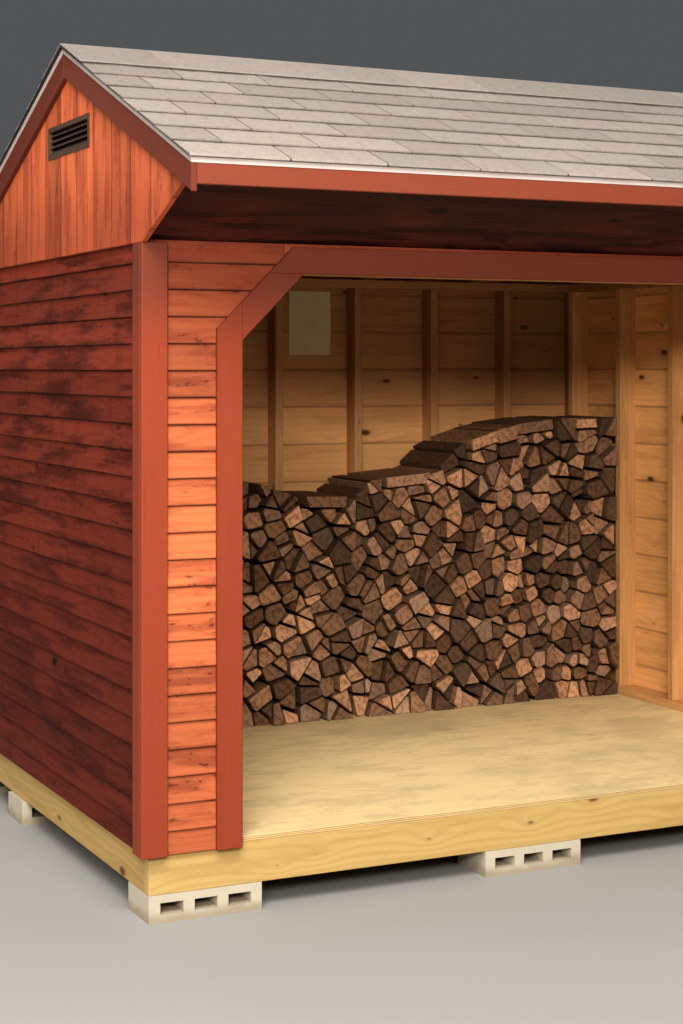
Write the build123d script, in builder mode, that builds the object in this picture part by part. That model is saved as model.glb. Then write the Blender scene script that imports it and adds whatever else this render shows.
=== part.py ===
from build123d import *
import os
from math import sqrt

os.makedirs("parts", exist_ok=True)

# Wall framing: X along the ridge, Y from front to back, Z up from the ground
frame_length = 3048.0
frame_depth = 2134.0
wall_height = 1956.0
stud_thickness = 38.0
stud_width = 89.0
stud_spacing = 406.4
rear_stud_start = 170.0
return_width = 313.0
butt_joint = 0.5

# Footing blocks
block_length = 397.0
block_width = 194.0
block_height = 92.0
core_length = 80.0
core_height = 38.0
core_spacing = 119.0
centre_block_shift = -70.0
middle_row_from_rear = 749.0
middle_row_shift = -15.0

# Floor
joist_depth = 140.0
joist_spacing = 304.8
deck_thickness = 15.0

# Siding and trim
board_thickness = 19.0
siding_drop = 10.0
first_lap = 75.0
lap_exposure = 87.35
lap_step = 9.0
trim_width = 89.0
trim_drop = 11.0
corner_side_width = 70.0
brace_rise = 222.0
corner_panel_leg = 159.0

# Roof framing
pitch = 5 / 12
heel_height = 141.0
ridge_setback = 720.0
front_overhang = 515.0
truss_bays = 5
rafter_width = 89.0
web_width = 64.0
cheek_tip = 20.0

# Roof covering and edges
sheathing_thickness = 12.0
fascia_width = 73.0
drip_face = 22.0
drip_thickness = 2.0
shingle_overhang = 13.0
shingle_butt = 8.0
shingle_step = 5.0
course_run = 149.5
cap_run = 225.0
cap_thickness = 5.0

# Gable vents
vent_width = 457.0
vent_height = 102.0
vent_drop = 320.6
vent_clearance = 0.5
vent_rim = 9.0
vent_flange = 8.0
vent_flange_thickness = 3.0
slat_count = 4
slat_thickness = 3.0
slat_rise = 14.0

# Firewood: its top as shares of the room between the side walls and of the wall height
log_length = 440.0
stack_side_gap = 10.0
stack_rear_gap = 5.0
stack_profile = (
    (0.0, 0.511),
    (0.211, 0.532),
    (0.333, 0.543),
    (0.418, 0.507),
    (0.511, 0.503),
    (0.561, 0.542),
    (0.661, 0.554),
    (0.716, 0.622),
    (0.791, 0.655),
    (0.886, 0.670),
    (1.0, 0.675),
)

# Places in plan, centred on the roof
trim_face = 2 * board_thickness
rake_face = 3 * board_thickness
right_x = frame_length / 2
left_x = -right_x
opening_left = left_x + return_width
opening_right = right_x - return_width
front_y = (front_overhang - frame_depth - trim_face) / 2
rear_y = front_y + frame_depth
eave_y = front_y - front_overhang
rear_eave_y = rear_y + trim_face
ridge_y = front_y + ridge_setback
fascia_back_y = eave_y + board_thickness

# Levels above the ground
rim_top = block_height + joist_depth
deck_top = rim_top + deck_thickness
siding_bottom = rim_top - siding_drop
plate_top = deck_top + wall_height
stud_foot = deck_top + stud_thickness
stud_head = plate_top - stud_thickness
trim_top = plate_top - trim_drop
lintel_bottom = trim_top - trim_width
chord_top = plate_top + stud_width

# Heights measured straight down through a sloping board
slope_factor = sqrt(1 + pitch**2)
sheathing_rise = sheathing_thickness * slope_factor
rafter_drop = sheathing_rise + rafter_width * slope_factor
butt_rise = shingle_butt * slope_factor
thin_rise = (shingle_butt - shingle_step) * slope_factor
ridge_z = plate_top + heel_height + pitch * (frame_depth - ridge_setback)


def roof_z(y, drop=0.0):
    """Height of the plane that lies drop below the top of the roof sheathing."""
    return ridge_z - pitch * abs(y - ridge_y) - drop


# The soffit and the gable cheeks rise together from the wall trim to the fascia
cheek_y = front_y - trim_face
cheek_tip_z = roof_z(fascia_back_y, sheathing_rise) - cheek_tip
soffit_slope = (cheek_tip_z - trim_top) / (cheek_y - fascia_back_y)
soffit_factor = sqrt(1 + soffit_slope**2)
soffit_rise = board_thickness * soffit_factor
strut_rise = web_width * soffit_factor


def end_span(side, inner, outer):
    """X span between two distances outward from the frame's left (-1) or right (1) end."""
    return sorted((side * (right_x + inner), side * (right_x + outer)))


def add_along_x(outline, x_start, x_end, mode=Mode.ADD):
    """Extrude a closed (y, z) outline along X."""
    with BuildSketch(Plane.YZ.offset(x_start)) as section:
        with BuildLine():
            Polyline(*outline, close=True)
        make_face()
    extrude(section.sketch, amount=x_end - x_start, mode=mode)


def add_along_y(outline, y_start, y_end, mode=Mode.ADD):
    """Extrude a closed (x, z) outline along Y."""
    with BuildSketch(Plane.XZ.offset(-y_end)) as section:
        with BuildLine():
            Polyline(*outline, close=True)
        make_face()
    extrude(section.sketch, amount=y_end - y_start, mode=mode)


def add_bar(x_span, y_span, z_span, mode=Mode.ADD):
    """Add or cut a straight bar that fills the three spans."""
    spans = (x_span, y_span, z_span)
    centre = tuple((low + high) / 2 for low, high in spans)
    with Locations(centre):
        Box(*(high - low for low, high in spans), mode=mode)


def save(piece, name):
    """Label a finished piece and write it to its own file."""
    piece.part.label = name
    export_step(piece.part, f"parts/{name}.step")


# Footing blocks: hollow blocks laid flat in three rows, their cores running front to back
end_block_x = right_x - block_length / 2
block_rows = {
    front_y + block_width / 2: -end_block_x,
    rear_y - middle_row_from_rear + block_width / 2: middle_row_shift - end_block_x,
    rear_y - block_width / 2: -end_block_x,
}
with BuildPart() as footing_blocks:
    for row_y, left_block_x in block_rows.items():
        for x in (left_block_x, centre_block_shift, end_block_x):
            with Locations((x, row_y, block_height / 2)):
                Box(block_length, block_width, block_height)
                with GridLocations(core_spacing, 0, 3, 1):
                    Box(core_length, block_width, core_height, mode=Mode.SUBTRACT)
save(footing_blocks, "footing_blocks")

# Floor: rims along the front and rear, joists between them and a deck on top
rim_span = (block_height, rim_top)
front_rim_y = (front_y, front_y + stud_thickness)
rear_rim_y = (rear_y - stud_thickness, rear_y)
with BuildPart() as rim_front:
    add_bar((left_x, right_x), front_rim_y, rim_span)
save(rim_front, "rim_front")

with BuildPart() as rim_rear:
    add_bar((left_x, right_x), rear_rim_y, rim_span)
save(rim_rear, "rim_rear")

half_stud = stud_thickness / 2
joist_count = round(frame_length / joist_spacing) - 1
joist_centres = [left_x + joist_spacing * (number + 1) for number in range(joist_count)]
joist_centres = [left_x + half_stud, *joist_centres, right_x - half_stud]
with BuildPart() as floor_joists:
    for x in joist_centres:
        add_bar((x - half_stud, x + half_stud), (front_rim_y[1], rear_rim_y[0]), rim_span)
save(floor_joists, "floor_joists")

with BuildPart() as floor_deck:
    add_bar((left_x, right_x), (front_y, rear_y), (rim_top, deck_top))
save(floor_deck, "floor_deck")

# Plates: the rear wall runs through, and the side walls fit between it and the front
left_wall_x = (left_x, left_x + stud_width)
right_wall_x = (right_x - stud_width, right_x)
front_wall_y = (front_y, front_y + stud_width)
rear_wall_y = (rear_y - stud_width, rear_y)
side_wall_y = (front_y, rear_wall_y[0] - butt_joint)
return_left_x = (left_wall_x[1] + butt_joint, opening_left)
return_right_x = (opening_right, right_wall_x[0] - butt_joint)
with BuildPart() as sole_plates:
    sole_span = (deck_top, stud_foot)
    add_bar(left_wall_x, side_wall_y, sole_span)
    add_bar(right_wall_x, side_wall_y, sole_span)
    add_bar((left_x, right_x), rear_wall_y, sole_span)
    add_bar(return_left_x, front_wall_y, sole_span)
    add_bar(return_right_x, front_wall_y, sole_span)
save(sole_plates, "sole_plates")

with BuildPart() as top_plates:
    top_span = (stud_head, plate_top)
    add_bar(left_wall_x, side_wall_y, top_span)
    add_bar(right_wall_x, side_wall_y, top_span)
    add_bar((left_x, right_x), rear_wall_y, top_span)
    add_bar((return_left_x[0], return_right_x[1]), front_wall_y, top_span)
save(top_plates, "top_plates")

with BuildPart() as front_header:
    header_x = (return_left_x[0], return_right_x[1])
    add_bar(header_x, front_wall_y, (lintel_bottom, stud_head))
save(front_header, "front_header")

# Studs
stud_span = (stud_foot, stud_head)
side_stud_count = int(side_wall_y[1] - front_y - stud_thickness) // int(stud_spacing)
side_centres = [front_y + stud_spacing * (number + 1) for number in range(side_stud_count)]
side_centres = [front_y + half_stud, *side_centres, side_wall_y[1] - half_stud]
for name, wall_x in (("studs_left", left_wall_x), ("studs_right", right_wall_x)):
    with BuildPart() as side_studs:
        for y in side_centres:
            add_bar(wall_x, (y - half_stud, y + half_stud), stud_span)
    save(side_studs, name)

rear_stud_count = int((frame_length - rear_stud_start) / stud_spacing) + 1
first_rear_stud = left_x + rear_stud_start
rear_centres = [first_rear_stud + stud_spacing * number for number in range(rear_stud_count)]
rear_centres = [left_x + half_stud, *rear_centres, right_x - half_stud]
with BuildPart() as studs_rear:
    for x in rear_centres:
        add_bar((x - half_stud, x + half_stud), rear_wall_y, stud_span)
save(studs_rear, "studs_rear")

with BuildPart() as studs_front:
    for wall_end, opening_edge in (return_left_x, return_right_x[::-1]):
        inward = 1 if wall_end < opening_edge else -1
        for start in (wall_end, opening_edge - inward * stud_thickness):
            stud_x = sorted((start, start + inward * stud_thickness))
            add_bar(stud_x, front_wall_y, (stud_foot, lintel_bottom))
save(studs_front, "studs_front")


# Siding: every lap is thick at its foot and thinner where the next lap covers it
def lap_outline(z_bottom, z_top):
    """Section of lapped siding as (outward, height) points between two levels."""
    outline = [(0.0, z_bottom)]
    foot = siding_bottom + first_lap - lap_exposure
    while foot < z_top:
        head = foot + lap_exposure
        start = max(foot, z_bottom)
        end = min(head, z_top)
        if start < end:
            for z in (start, end):
                outline.append((board_thickness - lap_step * (z - foot) / lap_exposure, z))
        foot = head
    outline.append((0.0, z_top))
    return outline


def add_siding_along_x(face_y, outward, x_start, x_end, z_bottom, z_top):
    """Add lapped siding on a front (-1) or rear (1) wall."""
    outline = [(face_y + outward * out, z) for out, z in lap_outline(z_bottom, z_top)]
    add_along_x(outline, x_start, x_end)


side_siding_y = (front_y - board_thickness, rear_y + board_thickness)
for name, wall_face, outward in (("siding_left", left_x, -1), ("siding_right", right_x, 1)):
    with BuildPart() as side_siding:
        outline = [
            (wall_face + outward * out, z) for out, z in lap_outline(siding_bottom, plate_top)
        ]
        add_along_y(outline, *side_siding_y)
    save(side_siding, name)

with BuildPart() as siding_rear:
    rear_siding_top = roof_z(rear_y + board_thickness, sheathing_rise)
    add_siding_along_x(rear_y, 1, left_x, right_x, siding_bottom, rear_siding_top)
save(siding_rear, "siding_rear")

with BuildPart() as siding_front_left:
    add_siding_along_x(front_y, -1, left_x, opening_left, siding_bottom, plate_top)
save(siding_front_left, "siding_front_left")

with BuildPart() as siding_front_right:
    add_siding_along_x(front_y, -1, opening_right, right_x, siding_bottom, plate_top)
save(siding_front_right, "siding_front_right")

# Siding over the opening comes down behind the braces as a triangle at each corner
with BuildPart() as siding_over_opening:
    panel_foot = lintel_bottom - corner_panel_leg
    add_siding_along_x(front_y, -1, opening_left, opening_right, panel_foot, plate_top)
    cut_outline = [
        (opening_left, panel_foot),
        (opening_right, panel_foot),
        (opening_right - corner_panel_leg, lintel_bottom),
        (opening_left + corner_panel_leg, lintel_bottom),
    ]
    add_along_y(cut_outline, front_y - board_thickness, front_y, mode=Mode.SUBTRACT)
save(siding_over_opening, "siding_over_opening")

# Corner boards: a wide board on the front or rear face and a narrow one on the side
front_trim_y = (front_y - trim_face, front_y - board_thickness)
front_side_y = (front_trim_y[1], front_trim_y[1] + corner_side_width)
rear_trim_y = (rear_y + board_thickness, rear_eave_y)
rear_side_y = (rear_trim_y[0] - corner_side_width, rear_trim_y[0])
fascia_top = roof_z(eave_y, sheathing_rise)
fascia_bottom = fascia_top - fascia_width
rear_fascia_top = roof_z(rear_eave_y, sheathing_rise)
rear_fascia_bottom = rear_fascia_top - fascia_width
for name, side in (("left", -1), ("right", 1)):
    wide_x = end_span(side, trim_face - trim_width, trim_face)
    narrow_x = end_span(side, board_thickness, trim_face)
    with BuildPart() as front_corner:
        add_bar(wide_x, front_trim_y, (siding_bottom, trim_top))
        add_bar(narrow_x, front_side_y, (siding_bottom, trim_top))
    save(front_corner, f"corner_boards_front_{name}")
    with BuildPart() as rear_corner:
        add_bar(wide_x, rear_trim_y, (siding_bottom, rear_fascia_bottom))
        add_bar(narrow_x, rear_side_y, (siding_bottom, trim_top))
    save(rear_corner, f"corner_boards_rear_{name}")

# Opening trim: jambs, 45 degree braces and a lintel with clipped ends
brace_foot = lintel_bottom - brace_rise
clip_foot = brace_foot + trim_width * sqrt(2)
for name, side in (("left", -1), ("right", 1)):
    inner_x = side * opening_right
    outer_x = inner_x + side * trim_width
    with BuildPart() as jamb_trim:
        jamb_outline = [
            (outer_x, siding_bottom),
            (inner_x, siding_bottom),
            (inner_x, clip_foot),
            (outer_x, clip_foot - trim_width),
        ]
        add_along_y(jamb_outline, *front_trim_y)
    save(jamb_trim, f"jamb_trim_{name}")
    with BuildPart() as brace_trim:
        brace_outline = [
            (inner_x, brace_foot),
            (inner_x - side * brace_rise, lintel_bottom),
            (inner_x - side * (lintel_bottom - clip_foot), lintel_bottom),
            (inner_x, clip_foot),
        ]
        add_along_y(brace_outline, *front_trim_y)
    save(brace_trim, f"brace_trim_{name}")

with BuildPart() as lintel_trim:
    lintel_half = opening_right - (lintel_bottom - clip_foot)
    lintel_outline = [
        (-lintel_half, lintel_bottom),
        (lintel_half, lintel_bottom),
        (lintel_half - trim_width, trim_top),
        (trim_width - lintel_half, trim_top),
    ]
    add_along_y(lintel_outline, *front_trim_y)
save(lintel_trim, "lintel_trim")

# Roof trusses: front and rear rafters, a bottom chord, an upright over the front
# wall and a strut that carries the soffit of the front overhang
truss_spacing = frame_length / truss_bays
truss_centres = [left_x + truss_spacing * number for number in range(truss_bays + 1)]


def save_truss_row(name, outline):
    """Write one node with the same (y, z) outline in every truss."""
    with BuildPart() as truss_row:
        for x in truss_centres:
            add_along_x(outline, x - half_stud, x + half_stud)
    save(truss_row, name)


tail_y = ridge_y - (roof_z(ridge_y, rafter_drop) - fascia_bottom) / pitch
front_rafter_outline = [
    (fascia_back_y, fascia_bottom),
    (tail_y, fascia_bottom),
    (ridge_y, roof_z(ridge_y, rafter_drop)),
    (ridge_y, roof_z(ridge_y, sheathing_rise)),
    (fascia_back_y, roof_z(fascia_back_y, sheathing_rise)),
]
save_truss_row("rafters_front", front_rafter_outline)

rear_rafter_outline = [
    (ridge_y, roof_z(ridge_y, rafter_drop)),
    (rear_y, roof_z(rear_y, rafter_drop)),
    (rear_y, roof_z(rear_y, sheathing_rise)),
    (ridge_y, roof_z(ridge_y, sheathing_rise)),
]
save_truss_row("rafters_rear", rear_rafter_outline)

chord_cut_y = ridge_y + (roof_z(ridge_y, rafter_drop) - chord_top) / pitch
chord_outline = [
    (front_y, plate_top),
    (rear_y, plate_top),
    (rear_y, roof_z(rear_y, rafter_drop)),
    (chord_cut_y, chord_top),
    (front_y, chord_top),
]
save_truss_row("bottom_chords", chord_outline)

web_y = front_y + web_width
web_outline = [
    (front_y, chord_top),
    (front_y, roof_z(front_y, rafter_drop)),
    (web_y, roof_z(web_y, rafter_drop)),
    (web_y, chord_top),
]
save_truss_row("truss_uprights", web_outline)

# The soffit and its strut rise forward from the plate until they meet the rafter
closing_slope = soffit_slope + pitch
rafter_foot_z = roof_z(front_y, rafter_drop)
strut_bottom = plate_top + soffit_rise
strut_top = strut_bottom + strut_rise
soffit_reach = (rafter_foot_z - plate_top) / closing_slope
strut_reach = (rafter_foot_z - strut_bottom) / closing_slope
strut_top_reach = (rafter_foot_z - strut_top) / closing_slope
strut_outline = [
    (front_y, strut_bottom),
    (front_y, strut_top),
    (front_y - strut_top_reach, roof_z(front_y - strut_top_reach, rafter_drop)),
    (front_y - strut_reach, roof_z(front_y - strut_reach, rafter_drop)),
]
save_truss_row("overhang_struts", strut_outline)

with BuildPart() as soffit_boards:
    soffit_outline = [
        (front_y, plate_top),
        (front_y, strut_bottom),
        (front_y - strut_reach, roof_z(front_y - strut_reach, rafter_drop)),
        (front_y - soffit_reach, roof_z(front_y - soffit_reach, rafter_drop)),
    ]
    add_along_x(soffit_outline, left_x - board_thickness, right_x + board_thickness)
save(soffit_boards, "soffit_boards")

# Roof sheathing
for name, edge_y in (("front", eave_y), ("rear", rear_eave_y)):
    with BuildPart() as roof_deck:
        deck_outline = [
            (edge_y, roof_z(edge_y)),
            (ridge_y, ridge_z),
            (ridge_y, roof_z(ridge_y, sheathing_rise)),
            (edge_y, roof_z(edge_y, sheathing_rise)),
        ]
        add_along_x(deck_outline, left_x - rake_face, right_x + rake_face)
    save(roof_deck, f"roof_deck_{name}")


# Shingles: courses step up the slope, and the last one stays thick under the cap
def shingle_outline(edge_y, uphill):
    """Section of the shingle courses from an eave edge up to the ridge."""
    outline = [(ridge_y, ridge_z), (edge_y, roof_z(edge_y))]
    y = edge_y
    while (ridge_y - y) * uphill > cap_run:
        outline.append((y, roof_z(y) + butt_rise))
        next_y = y + uphill * course_run
        if (ridge_y - next_y) * uphill > cap_run:
            outline.append((next_y, roof_z(next_y) + thin_rise))
        y = next_y
    outline.append((ridge_y, ridge_z + butt_rise))
    return outline


shingle_left = left_x - rake_face - shingle_overhang
shingle_right = right_x + rake_face + shingle_overhang
front_shingle_edge = eave_y - shingle_overhang
rear_shingle_edge = rear_eave_y + shingle_overhang
for name, edge_y, uphill in (("front", front_shingle_edge, 1), ("rear", rear_shingle_edge, -1)):
    with BuildPart() as shingles:
        add_along_x(shingle_outline(edge_y, uphill), shingle_left, shingle_right)
    save(shingles, f"shingles_{name}")

with BuildPart() as ridge_cap:
    cap_rise = butt_rise + cap_thickness * slope_factor
    cap_front = ridge_y - cap_run
    cap_rear = ridge_y + cap_run
    cap_outline = [
        (cap_front, roof_z(cap_front) + butt_rise),
        (ridge_y, ridge_z + butt_rise),
        (cap_rear, roof_z(cap_rear) + butt_rise),
        (cap_rear, roof_z(cap_rear) + cap_rise),
        (ridge_y, ridge_z + cap_rise),
        (cap_front, roof_z(cap_front) + cap_rise),
    ]
    add_along_x(cap_outline, shingle_left, shingle_right)
save(ridge_cap, "ridge_cap")

# Fascia boards along both eaves
fascia_x = (left_x - trim_face, right_x + trim_face)
with BuildPart() as fascia_front:
    add_bar(fascia_x, (eave_y, fascia_back_y), (fascia_bottom, fascia_top))
save(fascia_front, "fascia_front")

with BuildPart() as fascia_rear:
    add_bar(fascia_x, rear_trim_y, (rear_fascia_bottom, rear_fascia_top))
save(fascia_rear, "fascia_rear")

# Gables: a boarded panel with a cheek that rises forward under the front overhang,
# a louvred vent set in the panel and rake boards over its upper edges
gable_rear_y = rear_y + board_thickness
gable_outline = [
    (cheek_y, trim_top),
    (gable_rear_y, trim_top),
    (gable_rear_y, roof_z(gable_rear_y, sheathing_rise)),
    (ridge_y, roof_z(ridge_y, sheathing_rise)),
    (fascia_back_y, roof_z(fascia_back_y, sheathing_rise)),
    (fascia_back_y, cheek_tip_z),
]
vent_z = ridge_z - vent_drop
vent_hole_y = (ridge_y - vent_width / 2, ridge_y + vent_width / 2)
vent_hole_z = (vent_z - vent_height / 2, vent_z + vent_height / 2)


def grown(span, margin):
    """The span widened by a margin at both ends."""
    return (span[0] - margin, span[1] + margin)


def rake_outline(edge_y):
    """Outline of one rake board from an eave up to the joint at the ridge."""
    downhill = 1 if edge_y > ridge_y else -1
    top_y = ridge_y + downhill * butt_joint / 2
    return [
        (edge_y, roof_z(edge_y, rafter_drop)),
        (top_y, roof_z(top_y, rafter_drop)),
        (top_y, roof_z(top_y, sheathing_rise)),
        (edge_y, roof_z(edge_y, sheathing_rise)),
    ]


for name, side in (("left", -1), ("right", 1)):
    gable_x = end_span(side, board_thickness, trim_face)
    with BuildPart() as gable:
        add_along_x(gable_outline, *gable_x)
        add_bar(gable_x, vent_hole_y, vent_hole_z, mode=Mode.SUBTRACT)
    save(gable, f"gable_{name}")

    flange_x = end_span(side, trim_face, trim_face + vent_flange_thickness)
    vent_x = end_span(side, board_thickness, trim_face + vent_flange_thickness)
    body_y = grown(vent_hole_y, -vent_clearance)
    body_z = grown(vent_hole_z, -vent_clearance)
    clear_y = grown(body_y, -vent_rim)
    clear_z = grown(body_z, -vent_rim)
    slat_pitch = (clear_z[1] - clear_z[0]) / slat_count
    slat_foot = clear_z[0] + (slat_pitch - slat_rise - slat_thickness) / 2
    slat_inner = side * (right_x + board_thickness)
    slat_outer = side * (right_x + trim_face)
    with BuildPart() as vent:
        add_bar(end_span(side, board_thickness, trim_face), body_y, body_z)
        add_bar(flange_x, grown(vent_hole_y, vent_flange), grown(vent_hole_z, vent_flange))
        add_bar(vent_x, clear_y, clear_z, mode=Mode.SUBTRACT)
        for number in range(slat_count):
            foot = slat_foot + slat_pitch * number
            slat_outline = [
                (slat_outer, foot),
                (slat_inner, foot + slat_rise),
                (slat_inner, foot + slat_rise + slat_thickness),
                (slat_outer, foot + slat_thickness),
            ]
            add_along_y(slat_outline, *clear_y)
    save(vent, f"vent_{name}")

    with BuildPart() as rake_boards:
        for edge_y in (eave_y, rear_eave_y):
            add_along_x(rake_outline(edge_y), *end_span(side, trim_face, rake_face))
    save(rake_boards, f"rake_boards_{name}")

# Metal drip edge: one strip round the edges of the roof sheathing
drip_front_y = eave_y - drip_thickness
drip_rear_y = rear_eave_y + drip_thickness
drip_x = (left_x - rake_face, right_x + rake_face)
side_drip_outline = [
    (drip_front_y, roof_z(drip_front_y, drip_face)),
    (ridge_y, roof_z(ridge_y, drip_face)),
    (drip_rear_y, roof_z(drip_rear_y, drip_face)),
    (drip_rear_y, roof_z(drip_rear_y)),
    (ridge_y, ridge_z),
    (drip_front_y, roof_z(drip_front_y)),
]
with BuildPart() as drip_edge:
    for outer_y, inner_y in ((drip_front_y, eave_y), (drip_rear_y, rear_eave_y)):
        strip_z = (roof_z(outer_y, drip_face), roof_z(outer_y))
        add_bar(drip_x, sorted((outer_y, inner_y)), strip_z)
    for side in (-1, 1):
        add_along_x(side_drip_outline, *end_span(side, rake_face, rake_face + drip_thickness))
save(drip_edge, "drip_edge")

# Firewood: one row stacked against the rear studs, its top rising to the right
stack_left = left_wall_x[1] + stack_side_gap
stack_right = right_wall_x[0] - stack_side_gap
stack_rear = rear_wall_y[0] - stack_rear_gap
with BuildPart() as firewood_stack:
    stack_outline = [(stack_right, deck_top), (stack_left, deck_top)]
    for along, up in stack_profile:
        stack_outline.append(
            (stack_left + along * (stack_right - stack_left), deck_top + up * wall_height)
        )
    add_along_y(stack_outline, stack_rear - log_length, stack_rear)
save(firewood_stack, "firewood_stack")
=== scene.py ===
"""Open-fronted log store: boards, shingles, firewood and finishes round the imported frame."""

import logging
import math
import random
from collections.abc import Callable, Sequence
from dataclasses import dataclass, field, replace
from enum import Enum
from typing import Protocol

import bmesh
import bpy
from mathutils import Matrix, Vector


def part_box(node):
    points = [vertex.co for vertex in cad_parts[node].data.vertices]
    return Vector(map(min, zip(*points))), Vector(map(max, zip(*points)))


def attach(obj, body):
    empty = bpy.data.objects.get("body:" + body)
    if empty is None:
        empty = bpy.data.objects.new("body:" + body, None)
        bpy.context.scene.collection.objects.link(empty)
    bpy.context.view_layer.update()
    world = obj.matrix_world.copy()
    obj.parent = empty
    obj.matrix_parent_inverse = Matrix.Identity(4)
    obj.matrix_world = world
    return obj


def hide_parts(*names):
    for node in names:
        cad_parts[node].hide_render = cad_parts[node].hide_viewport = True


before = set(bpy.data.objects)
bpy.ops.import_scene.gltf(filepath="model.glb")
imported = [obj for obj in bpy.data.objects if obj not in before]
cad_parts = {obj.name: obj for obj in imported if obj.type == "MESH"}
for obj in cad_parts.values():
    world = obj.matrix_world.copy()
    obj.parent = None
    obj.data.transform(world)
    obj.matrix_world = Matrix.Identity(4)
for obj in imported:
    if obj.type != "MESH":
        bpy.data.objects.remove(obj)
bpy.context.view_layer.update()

Colour = tuple[float, float, float, float]
Span = tuple[float, float]
Pair = tuple[float, float]
Triple = tuple[float, float, float]
Plane = tuple[Vector, Vector]
Profile = Sequence[tuple[float, float]]

GRAIN_MAP = "grain"
FACTS_MAP = "facts"

ORIGIN = Vector((0.0, 0.0, 0.0))
AXIS_X = Vector((1.0, 0.0, 0.0))
AXIS_Y = Vector((0.0, 1.0, 0.0))
AXIS_Z = Vector((0.0, 0.0, 1.0))
SIDES = (("left", -1.0), ("right", 1.0))
DIAGONAL = math.sqrt(0.5)

TOUCH = 1e-6
SLIVER = 1e-4
SHARP_ANGLE = 0.3
GRAIN_DRIFT = 30.0

log = logging.getLogger("log_store")


class Signal:
    """A shader socket that takes part in arithmetic; every operation adds a Math node."""

    def __init__(self, graph: "Graph", socket: bpy.types.NodeSocket) -> None:
        """Wrap one output socket of a graph."""
        self.graph = graph
        self.socket = socket

    def math(self, operation: str, *values: "Signal | float", clamp: bool = False) -> "Signal":
        """Add a Math node.

        Args:
            operation: The node's operation.
            values: The values or links of its sockets.
            clamp: Whether the result is held between 0 and 1.

        Returns:
            The node's result.
        """
        settings = {"operation": operation, "use_clamp": clamp}
        return self.graph.node("ShaderNodeMath", settings, dict(enumerate(values)))

    def __add__(self, other: "Signal | float") -> "Signal":
        """Add."""
        return self.math("ADD", self, other)

    def __radd__(self, other: "Signal | float") -> "Signal":
        """Add to a number."""
        return self.math("ADD", other, self)

    def __sub__(self, other: "Signal | float") -> "Signal":
        """Subtract."""
        return self.math("SUBTRACT", self, other)

    def __rsub__(self, other: "Signal | float") -> "Signal":
        """Subtract from a number."""
        return self.math("SUBTRACT", other, self)

    def __mul__(self, other: "Signal | float") -> "Signal":
        """Multiply."""
        return self.math("MULTIPLY", self, other)

    def __rmul__(self, other: "Signal | float") -> "Signal":
        """Multiply a number."""
        return self.math("MULTIPLY", other, self)

    def __pow__(self, other: "Signal | float") -> "Signal":
        """Raise to a power."""
        return self.math("POWER", self, other)

    def clamped(self) -> "Signal":
        """Hold between 0 and 1."""
        return self.math("ADD", self, 0.0, clamp=True)

    def wave(self) -> "Signal":
        """Sine of the value, moved into the range 0 to 1."""
        return self.math("SINE", self) * 0.5 + 0.5

    def step(self, low: float, high: float) -> "Signal":
        """Rise smoothly from 0 to 1.

        Args:
            low: The value at which the result is 0.
            high: The value at which it is 1; it may lie below the other.

        Returns:
            The result.
        """
        settings = {"interpolation_type": "SMOOTHSTEP"}
        inputs = {"Value": self, "From Min": low, "From Max": high}
        return self.graph.node("ShaderNodeMapRange", settings, inputs)

    def sibling(self, name: str) -> "Signal":
        """Another output of the same node."""
        return Signal(self.graph, self.socket.node.outputs[name])


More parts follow.
